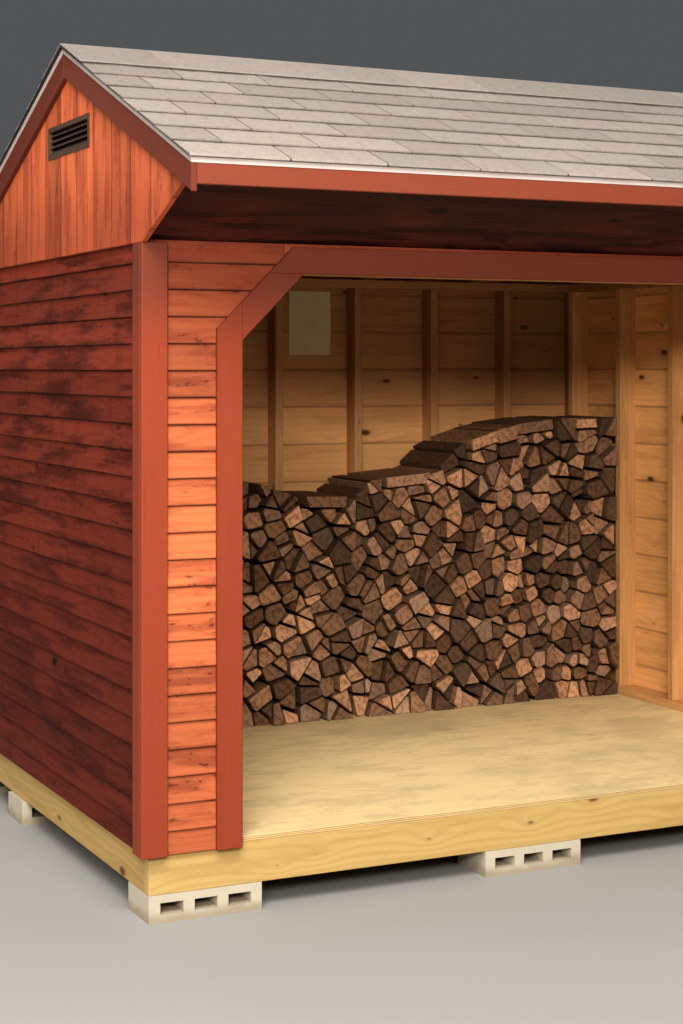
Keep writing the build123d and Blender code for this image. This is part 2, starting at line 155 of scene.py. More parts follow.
class Graph:
    """The node tree of one material, from its coordinates to its Principled shader."""

    def __init__(self, name: str) -> None:
        """Start a material that holds only its shader and output.

        Args:
            name: The material's name.
        """
        self.material = bpy.data.materials.new(name)
        self.material.use_nodes = True
        self.tree = self.material.node_tree
        self.tree.nodes.clear()
        self.shader = self.tree.nodes.new("ShaderNodeBsdfPrincipled")
        output = self.tree.nodes.new("ShaderNodeOutputMaterial")
        self.tree.links.new(self.shader.outputs[0], output.inputs[0])

    def node(
        self,
        kind: str,
        settings: dict | None = None,
        inputs: dict | None = None,
        output: int = 0,
    ) -> Signal:
        """Add a node.

        Args:
            kind: The node's type.
            settings: Its properties, set first.
            inputs: Values or links of its sockets, by name or number.
            output: The number of the output that is wanted.

        Returns:
            That output.
        """
        node = self.tree.nodes.new(kind)
        for name, value in (settings or {}).items():
            setattr(node, name, value)
        for name, value in (inputs or {}).items():
            self.feed(node.inputs[name], value)
        return Signal(self, node.outputs[output])

    def feed(self, socket: bpy.types.NodeSocket, value: object) -> None:
        """Link a signal to a socket, or set the socket's own value.

        Args:
            socket: The socket.
            value: A signal, or a number, colour or vector.
        """
        if isinstance(value, Signal):
            self.tree.links.new(value.socket, socket)
        else:
            socket.default_value = value

    def mix(self, factor: Signal | float, first: object, second: object) -> Signal:
        """Blend two colours."""
        inputs = {0: factor, 6: first, 7: second}
        return self.node("ShaderNodeMix", {"data_type": "RGBA"}, inputs, output=2)

    def axis(self, vector: Signal, name: str) -> Signal:
        """One coordinate of a vector."""
        return self.node("ShaderNodeSeparateXYZ", {}, {0: vector}).sibling(name)

    def facts(self) -> tuple[Signal, Signal]:
        """The solid's tone, and its second number, which may run across it."""
        pair = self.node("ShaderNodeUVMap", {"uv_map": FACTS_MAP})
        return self.axis(pair, "X"), self.axis(pair, "Y")

    def stretch(self, vector: Signal, factors: Triple) -> Signal:
        """Scale a vector along its axes."""
        return self.node("ShaderNodeVectorMath", {"operation": "MULTIPLY"}, {0: vector, 1: factors})

    def pattern(
        self, kind: str, vector: Signal, scale: Triple, settings: dict, **inputs: float
    ) -> Signal:
        """Add a pattern with as many cells to a metre as the scale says."""
        values = {"Vector": self.stretch(vector, scale), "Scale": 1.0, **inputs}
        return self.node(kind, settings, values)

    def noise(self, vector: Signal, scale: Triple, detail: float, roughness: float = 0.5) -> Signal:
        """Smooth noise from 0 to 1."""
        values = {"Detail": detail, "Roughness": roughness}
        return self.pattern("ShaderNodeTexNoise", vector, scale, {}, **values)

    def cells(self, vector: Signal, scale: Triple) -> Signal:
        """Distance to the nearest of the scattered points."""
        return self.pattern("ShaderNodeTexVoronoi", vector, scale, {})

    def spots(self, vector: Signal, scale: Triple) -> Signal:
        """Distance to the nearest scattered point on the plane of the first two axes."""
        settings = {"voronoi_dimensions": "2D"}
        return self.pattern("ShaderNodeTexVoronoi", vector, scale, settings)

    def bright(self, colour: object, value: Signal | float) -> Signal:
        """Multiply a colour's brightness."""
        return self.node("ShaderNodeHueSaturation", {}, {"Value": value, "Color": colour})

    def relief(self, height: Signal, strength: float, distance: float) -> None:
        """Feed a bump of the given height to the shader's normal."""
        inputs = {"Height": height, "Strength": strength, "Distance": distance}
        self.finish("Normal", self.node("ShaderNodeBump", {}, inputs))

    def finish(self, name: str, value: object) -> None:
        """Set or link one socket of the shader."""
        self.feed(self.shader.inputs[name], value)

    def dull(self, level: float) -> None:
        """Lower the surface's mirror gloss."""
        self.finish("Specular IOR Level", level)


class Place(Enum):
    """Where a finish takes its coordinates from, with the output's number."""

    OWN_GRAIN = 0
    STORE = 3


def metres(graph: Graph, place: Place) -> Signal:
    """Coordinates in metres whose first axis follows the grain.

    Args:
        graph: The material's graph.
        place: Each board's own map, or the store's axes.

    Returns:
        The coordinates.
    """
    if place is Place.OWN_GRAIN:
        return graph.node("ShaderNodeUVMap", {"uv_map": GRAIN_MAP})
    return graph.node("ShaderNodeTexCoord", {}, {}, output=place.value)


@dataclass(frozen=True)
class WoodFinish:
    """Bare or stained softwood with streaks, knots and blotches.

    Attributes:
        dark: Colour of the rings and fibres.
        knot: Colour of the knots, cracks and lap lines.
        blotch: Colour of the patches where stain or resin gathers.
        blotch_share: How strongly the patches show.
        streak_share: How strongly the rings show.
        knot_share: Share of the places for a knot that have one.
        knot_size: Reach of the largest knots.
        speck_share: How strongly the small cracks show.
        tone_range: How much one board differs from the next in brightness.
        line_share: How dark the lines along the laps and board edges are; partly stain
        gathered there, partly painted shade under each lap's edge.
        line_width: Width of those lines as a share of the lap.
        painted_shade: Colour of the painted shade over painted_shade_span, else the blotch colour.
        painted_shade_span: The levels where the painted shade starts and where it is full.
        painted_shade_share: How strongly the painted shade shows.
        run_share: How strongly the marks that run down the wall show.
        gloss: The shader's specular level.
        relief: Strength of the grain's bump.
    """

    name: str
    light: Colour
    dark: Colour
    knot: Colour
    blotch: Colour
    blotch_share: float = 0.5
    streak_share: float = 0.6
    knot_share: float = 0.45
    knot_size: float = 0.13
    speck_share: float = 0.0
    tone_range: float = 0.3
    line_share: float = 0.0
    line_width: float = 0.05
    painted_shade: Colour | None = None
    painted_shade_span: Span = (0.0, 0.0)
    painted_shade_share: float = 0.0
    run_share: float = 0.0
    gloss: float = 0.22
    roughness: float = 0.62
    relief: float = 0.35

    def material(self) -> bpy.types.Material:
        """Build the material.

        Returns:
            The material.
        """
        graph = Graph(self.name)
        place = metres(graph, Place.OWN_GRAIN)
        store = metres(graph, Place.STORE)
        own, height = graph.facts()
        warp = graph.noise(place, (0.9, 7.0, 7.0), detail=2.0)
        spot = graph.spots(place, (2.7, 5.6, 5.6))
        share = self.knot_share
        reach = (spot.sibling("Color") - (1.0 - share)) * (self.knot_size / share)
        knot = ((reach + warp * 0.03 - 0.015 - spot) * 18.0).clamped() * (reach * 99.0).clamped()
        halo = ((reach * 2.4 - spot) * 3.0).clamped()
        swirl = (1.0 - spot * 1.9).clamped() ** 2.0
        across = graph.axis(place, "Y")
        rings = (across * 210.0 + warp * 15.0 + swirl * 9.0).wave() ** 2.5
        fibre = graph.noise(place, (5.0, 300.0, 300.0), detail=3.0, roughness=0.6)
        patch = graph.noise(place, (1.9, 13.0, 13.0), detail=5.0, roughness=0.62)
        cloud = graph.noise(store, (1.9, 1.9, 2.6), detail=3.0, roughness=0.6)
        wet = (patch * 0.85 + cloud * 0.15).step(0.46, 0.60)
        colour = graph.mix(rings * self.streak_share, self.light, self.dark)
        colour = graph.mix(fibre.step(0.45, 0.8) * 0.4, colour, self.dark)
        colour = graph.mix(wet * self.blotch_share, colour, self.blotch)
        # Painted shade: the colour darkens with height over the given span, upwards or downwards as
        # it runs.
        if self.painted_shade_share:
            level = graph.axis(store, "Z")
            painted_shade_mask = (level + cloud * 0.2 - 0.1).step(*self.painted_shade_span) * self.painted_shade_share
            colour = graph.mix(painted_shade_mask, colour, self.painted_shade or self.blotch)
        if self.run_share:
            run = graph.noise(store, (13.0, 13.0, 2.6), detail=1.0)
            colour = graph.mix(run.step(0.48, 0.70) * self.run_share, colour, self.blotch)
        colour = graph.mix(halo * 0.5, colour, self.blotch)
        colour = graph.mix(knot * 0.9, colour, self.knot)
        if self.speck_share:
            crack = graph.noise(place, (26.0, 62.0, 62.0), detail=3.0, roughness=0.65)
            few = patch.step(0.44, 0.60)
            colour = graph.mix(crack.step(0.57, 0.66) * few * self.speck_share, colour, self.knot)
        # Dark lines along the laps and board edges: partly stain gathered there, partly painted
        # shade under each lap's edge.
        if self.line_share:
            uneven = fibre * 0.03 + cloud * 0.04
            low = (height - uneven).step(self.line_width, -0.03)
            high = (height + uneven).step(1.02 - self.line_width, 1.04)
            line = (low + high) * (patch * 0.9 + 0.45)
            colour = graph.mix((line * self.line_share).clamped(), colour, self.knot)
        tone = own * self.tone_range + (1.0 - self.tone_range / 2)
        graph.finish("Base Color", graph.bright(colour, tone))
        graph.finish("Roughness", fibre * 0.25 + (self.roughness - 0.12))
        graph.dull(self.gloss)
        graph.relief(fibre * 0.5 + rings * 0.3 - knot * 0.4, self.relief, 0.002)
        return graph.material


@dataclass(frozen=True)
class StainFinish:
    """An even, opaque stain over smooth trim, with the grain just showing."""

    name: str
    body: Colour
    worn: Colour
    # Painted shade: the colour that the trim turns to towards its top.
    painted_shade: Colour | None = None
    painted_shade_span: Span = (1.84, 2.10)
    roughness: float = 0.5

    def material(self) -> bpy.types.Material:
        """Build the material.

        Returns:
            The material.
        """
        graph = Graph(self.name)
        place = metres(graph, Place.OWN_GRAIN)
        own, _ = graph.facts()
        fibre = graph.noise(place, (4.0, 210.0, 210.0), detail=3.0, roughness=0.6)
        patch = graph.noise(place, (1.4, 9.0, 9.0), detail=3.0)
        colour = graph.mix(fibre.step(0.4, 0.75) * 0.35, self.body, self.worn)
        colour = graph.mix(patch.step(0.5, 0.75) * 0.35, colour, self.worn)
        # Painted shade: the colour turns to the shade colour with height over the given span.
        if self.painted_shade:
            level = graph.axis(metres(graph, Place.STORE), "Z")
            colour = graph.mix(level.step(*self.painted_shade_span), colour, self.painted_shade)
        graph.finish("Base Color", graph.bright(colour, own * 0.14 + 0.93))
        graph.finish("Roughness", fibre * 0.2 + self.roughness)
        graph.dull(0.22)
        graph.relief(fibre, 0.2, 0.0015)
        return graph.material


@dataclass(frozen=True)
class ShingleFinish:
    """Asphalt shingles covered in mineral granules."""

    name: str
    pale: Colour
    mid: Colour
    dark: Colour
    line: Colour

    def material(self) -> bpy.types.Material:
        """Build the material.

        Returns:
            The material.
        """
        graph = Graph(self.name)
        place = metres(graph, Place.STORE)
        own, height = graph.facts()
        grit = graph.noise(place, (420.0, 420.0, 420.0), detail=2.0, roughness=0.7)
        cloud = graph.noise(place, (34.0, 34.0, 34.0), detail=4.0, roughness=0.65)
        colour = graph.mix(grit.step(0.35, 0.7), self.mid, self.pale)
        colour = graph.mix(cloud.step(0.45, 0.75) * 0.45, colour, self.dark)
        # Painted shadow lines: dark along the top of each course's exposed face under the next
        # butt, wider under the ridge cap.
        wander = graph.noise(place, (6.0, 6.0, 6.0), detail=3.0)
        shade = (height + cloud * 0.06 + wander * 0.16 - 0.08).step(0.88, 1.0)
        colour = graph.mix(shade * 0.97, colour, self.line)
        graph.finish("Base Color", graph.bright(colour, own * 0.22 + 0.89))
        graph.finish("Roughness", grit * 0.1 + 0.85)
        graph.relief(grit, 0.6, 0.002)
        return graph.material


@dataclass(frozen=True)
class ConcreteFinish:
    """Grey cast concrete with pits, aggregate and soil splashed near the ground."""

    name: str
    pale: Colour
    dark: Colour
    soil: Colour
    soil_height: float = 0.03

    def material(self) -> bpy.types.Material:
        """Build the material.

        Returns:
            The material.
        """
        graph = Graph(self.name)
        place = metres(graph, Place.STORE)
        height = graph.axis(place, "Z")
        grit = graph.noise(place, (180.0, 180.0, 180.0), detail=4.0, roughness=0.7)
        cloud = graph.noise(place, (9.0, 9.0, 9.0), detail=3.0)
        pits = graph.cells(place, (130.0, 130.0, 130.0))
        colour = graph.mix(cloud * 0.6 + grit * 0.5 - 0.2, self.pale, self.dark)
        edge = (height + cloud * -0.04).step(self.soil_height, -0.01)
        colour = graph.mix(edge * 0.55, colour, self.soil)
        graph.finish("Base Color", colour)
        graph.finish("Roughness", grit * 0.1 + 0.85)
        graph.relief(grit * 0.6 + pits.step(0.0, 0.35) * 0.5, 0.5, 0.003)
        return graph.material


@dataclass(frozen=True)
class SheetFinish:
    """Plywood or strand board seen on its face."""

    name: str
    light: Colour
    dark: Colour
    stain: Colour
    edge: Colour
    top: float = 0.0
    ply: float = 0.0

    def material(self) -> bpy.types.Material:
        """Build the material.

        Returns:
            The material.
        """
        graph = Graph(self.name)
        place = metres(graph, Place.STORE)
        warp = graph.noise(place, (0.7, 2.6, 2.6), detail=3.0)
        across = graph.axis(place, "Y")
        rings = (across * 48.0 + warp * 38.0).wave() ** 3.0
        fibre = graph.noise(place, (7.0, 160.0, 160.0), detail=3.0, roughness=0.6)
        dust = graph.noise(place, (1.6, 1.6, 1.6), detail=5.0, roughness=0.62)
        smear = graph.noise(place, (4.6, 10.0, 10.0), detail=5.0, roughness=0.70)
        colour = graph.mix(rings * 0.16, self.light, self.dark)
        colour = graph.mix(smear.step(0.44, 0.66) * 0.50, colour, self.stain)
        colour = graph.mix(fibre.step(0.4, 0.8) * 0.3, colour, self.dark)
        colour = graph.mix(dust.step(0.50, 0.68) * 0.55, colour, self.stain)
        if self.ply:
            depth = self.top - graph.axis(place, "Z")
            layer = (depth * (math.tau / self.ply) - math.pi / 2).wave().step(0.45, 0.75)
            shaded = graph.mix(layer * 0.6 + 0.4, colour, self.edge)
            colour = graph.mix(depth.step(0.0004, 0.0012), colour, shaded)
        graph.finish("Base Color", colour)
        graph.finish("Roughness", fibre * 0.2 + 0.62)
        graph.dull(0.25)
        graph.relief(fibre * 0.5 + rings * 0.3, 0.25, 0.0015)
        return graph.material


@dataclass(frozen=True)
class MetalFinish:
    """Painted sheet metal, a little dusty."""

    name: str
    body: Colour
    dust: Colour
    roughness: float = 0.42
    gloss: float = 0.2
    painted_light: Colour | None = None
    painted_light_from: float = 1.5905

    def material(self) -> bpy.types.Material:
        """Build the material.

        Returns:
            The material.
        """
        graph = Graph(self.name)
        place = metres(graph, Place.STORE)
        cloud = graph.noise(place, (11.0, 11.0, 11.0), detail=4.0, roughness=0.65)
        speck = graph.noise(place, (260.0, 260.0, 260.0), detail=1.0)
        colour = graph.mix(cloud.step(0.4, 0.75) * 0.45, self.body, self.dust)
        # Painted light: past the given distance from the middle along X, the rake strips take a
        # lighter colour.
        if self.painted_light:
            across = graph.axis(place, "X")
            aside = across.math("ABSOLUTE", across)
            strip = aside.step(self.painted_light_from, self.painted_light_from + 0.001)
            colour = graph.mix(strip, colour, self.painted_light)
        graph.finish("Base Color", colour)
        graph.finish("Roughness", cloud * 0.25 + self.roughness)
        graph.dull(self.gloss)
        graph.relief(cloud * 0.7 + speck * 0.3, 0.12, 0.002)
        return graph.material


@dataclass(frozen=True)
class BilletFinish:
    """Split firewood: its sawn ends, its split sides or its bark."""

    name: str
    light: Colour
    dark: Colour
    grey: Colour
    sawn: bool = False
    spread: float = 1.65

    def material(self) -> bpy.types.Material:
        """Build the material.

        Returns:
            The material.
        """
        graph = Graph(self.name)
        place = metres(graph, Place.OWN_GRAIN)
        own, other = graph.facts()
        if self.sawn:
            length = {"operation": "LENGTH"}
            reach = graph.node("ShaderNodeVectorMath", length, {0: place}, output=1)
            rough = graph.noise(place, (28.0, 28.0, 28.0), detail=3.0)
            streak = (reach * 900.0 + rough * 9.0).wave()
            saw = graph.noise(place, (30.0, 240.0, 30.0), detail=2.0)
            mark = streak * 0.45 + saw * 0.4
            height = saw * 0.7 + streak * 0.3
        else:
            height = graph.noise(place, (9.0, 190.0, 190.0), detail=4.0, roughness=0.65)
            mark = height.step(0.3, 0.75)
        grime = graph.noise(place, (42.0, 42.0, 42.0), detail=5.0, roughness=0.68)
        colour = graph.mix(mark, self.light, self.dark)
        colour = graph.mix((other * 1.3 - 0.45).clamped() * 0.8, colour, self.grey)
        colour = graph.mix(grime.step(0.44, 0.60) * 0.85, colour, self.dark)
        tone = own ** 1.7 * self.spread + (1.0 - self.spread * 0.37)
        graph.finish("Base Color", graph.bright(colour, tone))
        graph.finish("Roughness", mark * 0.15 + 0.75)
        graph.dull(0.15)
        graph.relief(height, 0.6, 0.004)
        return graph.material


def rgba(red: float, green: float, blue: float) -> Colour:
    """An opaque linear colour."""
    return (red, green, blue, 1.0)


class Finish(Protocol):
    """What every finish has: a name and a material of its own."""

    name: str

    def material(self) -> bpy.types.Material:
        """Build the material."""


@dataclass
class Finishes:
    """Every finish of the store, made once and shared."""

    made: dict[str, bpy.types.Material] = field(default_factory=dict)

    def add(self, finish: Finish) -> bpy.types.Material:
        """Build a finish the first time it is asked for.

        Args:
            finish: The finish.

        Returns:
            Its material.
        """
        if finish.name not in self.made:
            self.made[finish.name] = finish.material()
        return self.made[finish.name]


# The front boards darken towards the top in the blotch colour: painted shade under the overhang.
FRONT_STAIN = WoodFinish(
    "front siding stain",
    light=rgba(0.52, 0.145, 0.056),
    dark=rgba(0.38, 0.086, 0.034),
    knot=rgba(0.045, 0.010, 0.007),
    blotch=rgba(0.20, 0.035, 0.018),
    painted_shade_span=(1.45, 2.35),
    painted_shade_share=0.75,
    streak_share=0.35,
    blotch_share=0.6,
    speck_share=0.7,
    tone_range=0.52,
    line_share=0.75,
)
# The side and rear boards darken towards the bottom: painted shade.
WALL_STAIN = WoodFinish(
    "wall siding stain",
    light=rgba(0.244, 0.047, 0.024),
    dark=rgba(0.172, 0.029, 0.015),
    knot=rgba(0.012, 0.004, 0.003),
    blotch=rgba(0.054, 0.011, 0.007),
    painted_shade=rgba(0.066, 0.009, 0.005),
    painted_shade_span=(2.05, 0.55),
    painted_shade_share=0.62,
    run_share=0.22,
    gloss=0.12,
    streak_share=0.40,
    blotch_share=0.72,
    speck_share=0.80,
    tone_range=0.52,
    line_share=0.62,
    line_width=0.045,
)
# The gable boards darken towards their foot: painted shade.
GABLE_STAIN = WoodFinish(
    "gable stain",
    light=rgba(0.595, 0.152, 0.057),
    dark=rgba(0.44, 0.090, 0.036),
    knot=rgba(0.060, 0.012, 0.008),
    blotch=rgba(0.20, 0.031, 0.015),
    streak_share=0.35,
    blotch_share=0.52,
    knot_share=0.30,
    speck_share=0.55,
    painted_shade_span=(2.55, 2.22),
    painted_shade_share=0.50,
    tone_range=0.34,
    line_share=0.62,
    line_width=0.030,
)
# The soffit's stain, darkened as painted shade, and darker still higher up under the roof.
SHADED_SOFFIT_STAIN = WoodFinish(
    "soffit stain, painted shade",
    light=rgba(0.128, 0.029, 0.017),
    dark=rgba(0.084, 0.018, 0.011),
    knot=rgba(0.009, 0.003, 0.003),
    blotch=rgba(0.020, 0.006, 0.005),
    painted_shade=rgba(0.024, 0.007, 0.005),
    painted_shade_span=(2.20, 2.32),
    painted_shade_share=0.72,
    streak_share=0.45,
    blotch_share=0.86,
    knot_share=0.60,
    knot_size=0.18,
    tone_range=0.45,
)
# The corner boards' tops and the lintel darken with height: painted shade under the overhang.
TRIM_STAIN = StainFinish(
    "trim stain",
    rgba(0.258, 0.050, 0.021),
    rgba(0.211, 0.037, 0.016),
    painted_shade=rgba(0.172, 0.042, 0.022),
)
# Darker copies of the trim stain for the fascia boards and the rakes: painted shade.
SHADED_EAVE_STAIN = StainFinish("eave trim stain, painted shade", rgba(0.207, 0.051, 0.027), rgba(0.170, 0.038, 0.020))
SHADED_RAKE_STAIN = StainFinish("rake trim stain, painted shade", rgba(0.156, 0.037, 0.020), rgba(0.128, 0.028, 0.015))
# Bare pine inside; it darkens towards the top: painted shade under the roof.
BARE_PINE = WoodFinish(
    "bare pine siding",
    light=rgba(0.82, 0.450, 0.190),
    dark=rgba(0.67, 0.338, 0.128),
    knot=rgba(0.060, 0.021, 0.011),
    blotch=rgba(0.48, 0.225, 0.082),
    painted_shade=rgba(0.140, 0.064, 0.036),
    painted_shade_span=(1.40, 1.95),
    painted_shade_share=0.58,
    streak_share=0.32,
    blotch_share=0.36,
    knot_share=0.60,
    knot_size=0.15,
    tone_range=0.20,
    line_share=0.42,
    line_width=0.035,
)
# A lighter copy of the bare pine, without its painted shade, for the side walls' insides: painted
# light.
LIT_SIDE_PINE = replace(
    BARE_PINE,
    name="bare pine siding of the sides, painted light",
    light=rgba(0.88, 0.490, 0.205),
    painted_shade_share=0.0,
)
FRAME_PINE = WoodFinish(
    "frame pine",
    light=rgba(0.66, 0.370, 0.155),
    dark=rgba(0.53, 0.270, 0.100),
    knot=rgba(0.080, 0.030, 0.014),
    blotch=rgba(0.42, 0.205, 0.080),
    streak_share=0.35,
)
SHADED_PINE = replace(
    FRAME_PINE,
    name="frame pine in the shade",
    painted_shade=rgba(0.140, 0.064, 0.036),
    painted_shade_span=(1.30, 1.90),
    painted_shade_share=0.50,
)
RIM_PINE = WoodFinish(
    "treated pine",
    light=rgba(0.490, 0.338, 0.133),
    dark=rgba(0.388, 0.251, 0.085),
    knot=rgba(0.10, 0.040, 0.016),
    blotch=rgba(0.38, 0.235, 0.080),
    streak_share=0.46,
    knot_share=0.55,
    knot_size=0.15,
    tone_range=0.16,
)
DECK_SHEET = SheetFinish(
    "deck sheet",
    light=rgba(0.81, 0.640, 0.350),
    dark=rgba(0.63, 0.465, 0.215),
    stain=rgba(0.50, 0.405, 0.230),
    edge=rgba(0.36, 0.220, 0.080),
    top=0.247,
    ply=0.006,
)
ROOF_SHEET = SheetFinish(
    "roof sheet",
    light=rgba(0.52, 0.340, 0.160),
    dark=rgba(0.36, 0.210, 0.085),
    stain=rgba(0.40, 0.260, 0.120),
    edge=rgba(0.30, 0.180, 0.080),
)
ROOF_SHINGLE = ShingleFinish(
    "tan shingle",
    pale=rgba(0.374, 0.328, 0.293),
    mid=rgba(0.248, 0.215, 0.190),
    dark=rgba(0.164, 0.141, 0.125),
    line=rgba(0.034, 0.026, 0.020),
)
BLOCK_CONCRETE = ConcreteFinish(
    "block concrete",
    pale=rgba(0.575, 0.512, 0.395),
    dark=rgba(0.365, 0.320, 0.248),
    soil=rgba(0.22, 0.160, 0.095),
)
# The drip edge's rake strips are a lighter copy of the same metal: painted light.
DRIP_METAL = MetalFinish(
    "drip edge metal",
    rgba(0.50, 0.430, 0.395),
    rgba(0.38, 0.305, 0.270),
    gloss=0.4,
    painted_light=rgba(0.90, 0.850, 0.800),
)
VENT_METAL = MetalFinish("vent metal", rgba(0.082, 0.046, 0.033), rgba(0.120, 0.078, 0.058))
SAWN_END = BilletFinish(
    "sawn log end",
    light=rgba(0.51, 0.282, 0.158),
    dark=rgba(0.150, 0.080, 0.047),
    grey=rgba(0.165, 0.128, 0.102),
    sawn=True,
)
SPLIT_SIDE = BilletFinish(
    "split log side",
    light=rgba(0.36, 0.205, 0.105),
    dark=rgba(0.13, 0.075, 0.042),
    grey=rgba(0.130, 0.098, 0.072),
    spread=1.2,
)
LOG_BARK = BilletFinish(
    "log bark",
    light=rgba(0.105, 0.072, 0.050),
    dark=rgba(0.034, 0.024, 0.018),
    grey=rgba(0.085, 0.072, 0.060),
)
SCREEN_METAL = MetalFinish("vent screen", rgba(0.012, 0.010, 0.009), rgba(0.022, 0.018, 0.015))
CARD_PAPER = MetalFinish(
    "plain card", rgba(0.60, 0.54, 0.36), rgba(0.50, 0.43, 0.27), roughness=0.7
)


@dataclass(frozen=True)
class Layout:
    """Levels and lines of the store, in metres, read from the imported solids."""

    pitch: float = 5 / 12
    board: float = 0.019
    trim: float = 0.089
    rafter: float = 0.089
    stud_spacing: float = 0.4064
    soffit_slope: float = 0.44

    @property
    def left(self) -> float:
        """Left face of the wall frame."""
        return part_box("floor_deck")[0].x

    @property
    def right(self) -> float:
        """Right face of the wall frame."""
        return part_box("floor_deck")[1].x

    @property
    def front(self) -> float:
        """Front face of the wall frame."""
        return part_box("floor_deck")[0].y

    @property
    def rear(self) -> float:
        """Rear face of the wall frame."""
        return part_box("floor_deck")[1].y

    @property
    def deck(self) -> float:
        """Top of the floor."""
        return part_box("floor_deck")[1].z

    @property
    def siding_foot(self) -> float:
        """Lower edge of the siding and trim."""
        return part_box("siding_left")[0].z

    @property
    def plate(self) -> float:
        """Top of the wall plates."""
        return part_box("top_plates")[1].z

    @property
    def trim_top(self) -> float:
        """Upper edge of the corner boards and lintel."""
        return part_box("lintel_trim")[1].z

    @property
    def lintel(self) -> float:
        """Lower edge of the lintel."""
        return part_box("lintel_trim")[0].z

    @property
    def opening(self) -> float:
        """Half of the opening's width."""
        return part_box("siding_front_right")[0].x

    @property
    def ridge(self) -> Vector:
        """Point on the ridge of the roof sheathing."""
        low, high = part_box("roof_deck_front")
        return Vector((0.0, high.y, high.z))

    @property
    def eave(self) -> float:
        """Front edge of the roof sheathing."""
        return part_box("roof_deck_front")[0].y

    @property
    def rear_eave(self) -> float:
        """Rear edge of the roof sheathing."""
        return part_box("roof_deck_rear")[1].y

    @property
    def slope_length(self) -> float:
        """Length along the slope for one metre in plan."""
        return math.hypot(1.0, self.pitch)

    @property
    def sheathing(self) -> float:
        """Height of the roof sheathing measured straight down."""
        return self.ridge.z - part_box("rafters_front")[1].z

    def roof(self, y: float) -> float:
        """Height of the top of the sheathing at y."""
        return self.ridge.z - self.pitch * abs(y - self.ridge.y)


def frame_of(origin: Sequence[float], along: Sequence[float], across: Sequence[float]) -> Matrix:
    """The frame of a board.

    Args:
        origin: Where its axes meet.
        along: Direction of its length.
        across: Direction of its width.

    Returns:
        The matrix that carries the board from its own frame to its place.
    """
    first = Vector(along).normalized()
    second = Vector(across).normalized()
    third = first.cross(second)
    matrix = Matrix((first, second, third)).transposed().to_4x4()
    matrix.translation = Vector(origin)
    return matrix


def plane_in(place: Matrix, point: Vector, normal: Vector) -> Plane:
    """A plane of the store, as it lies in a board's own frame."""
    back = place.inverted()
    return back @ point, back.to_3x3() @ normal


def cut(mesh: bmesh.types.BMesh, plane: Plane, drop: bool = False) -> None:
    """Cut a mesh along a plane.

    Args:
        mesh: The mesh to cut.
        plane: A point on the plane, and its normal.
        drop: Whether what lies on the normal's side is removed.
    """
    bmesh.ops.bisect_plane(
        mesh,
        geom=[*mesh.verts, *mesh.edges, *mesh.faces],
        dist=TOUCH,
        plane_co=plane[0],
        plane_no=plane[1],
        clear_outer=drop,
    )


def trim_back(mesh: bmesh.types.BMesh, plane: Plane) -> None:
    """Remove what lies on the side a plane's normal points to, and close the end.

    Args:
        mesh: The mesh to trim.
        plane: A point on the plane, and its normal.
    """
    cut(mesh, plane, drop=True)
    rims = [edge for edge in mesh.edges if edge.is_boundary]
    if rims:
        bmesh.ops.holes_fill(mesh, edges=rims)


def extrude(mesh: bmesh.types.BMesh, way: Triple) -> None:
    """Extrude a flat mesh into a closed solid.

    Args:
        mesh: A mesh with nothing in it but the start face.
        way: How far the other end lies from it.
    """
    grown = bmesh.ops.extrude_face_region(mesh, geom=mesh.faces[:])
    moved = [item for item in grown["geom"] if isinstance(item, bmesh.types.BMVert)]
    bmesh.ops.translate(mesh, vec=way, verts=moved)
    bmesh.ops.recalc_face_normals(mesh, faces=mesh.faces[:])


def wear(mesh: bmesh.types.BMesh, edge: float) -> None:
    """Chamfer the sharp edges of a solid.

    Args:
        mesh: The solid.
        edge: Width of the chamfer.
    """
    solid = [side for side in mesh.edges if side.is_manifold]
    sharp = [side for side in solid if side.calc_face_angle() > SHARP_ANGLE]
    bmesh.ops.bevel(
        mesh,
        geom=sharp,
        offset=edge,
        offset_type="OFFSET",
        segments=1,
        profile=0.5,
        affect="EDGES",
        material=-1,
        clamp_overlap=True,
    )
    mesh.normal_update()


def islands(mesh: bmesh.types.BMesh) -> list[set[int]]:
    """Tell the solids of a mesh apart.

    Args:
        mesh: A mesh whose points are numbered.

    Returns:
        The point numbers of each solid.
    """
    found, seen = [], set()
    for start in mesh.verts:
        if start.index in seen:
            continue
        island, waiting = {start.index}, [start]
        while waiting:
            for edge in waiting.pop().link_edges:
                for vert in edge.verts:
                    if vert.index not in island:
                        island.add(vert.index)
                        waiting.append(vert)
        seen |= island
        found.append(island)
    return found


def lie_of(mesh: bmesh.types.BMesh) -> Matrix:
    """Find how a timber lies.

    Args:
        mesh: The timber.

    Returns:
        A frame at the origin whose first axis runs along its longest edge.
    """
    longest = max(mesh.edges, key=lambda edge: edge.calc_length())
    along = (longest.verts[1].co - longest.verts[0].co).normalized()
    flat = [face for face in mesh.faces if abs(face.normal.dot(along)) < 0.1]
    out = max(flat, key=lambda face: face.calc_area()).normal.copy()
    return frame_of(ORIGIN, along, out.cross(along))


STANDING = frame_of(ORIGIN, AXIS_Z, AXIS_X)
STANDING_SIDEWAYS = frame_of(ORIGIN, AXIS_Z, AXIS_Y)
LYING = frame_of(ORIGIN, AXIS_X, AXIS_Y)


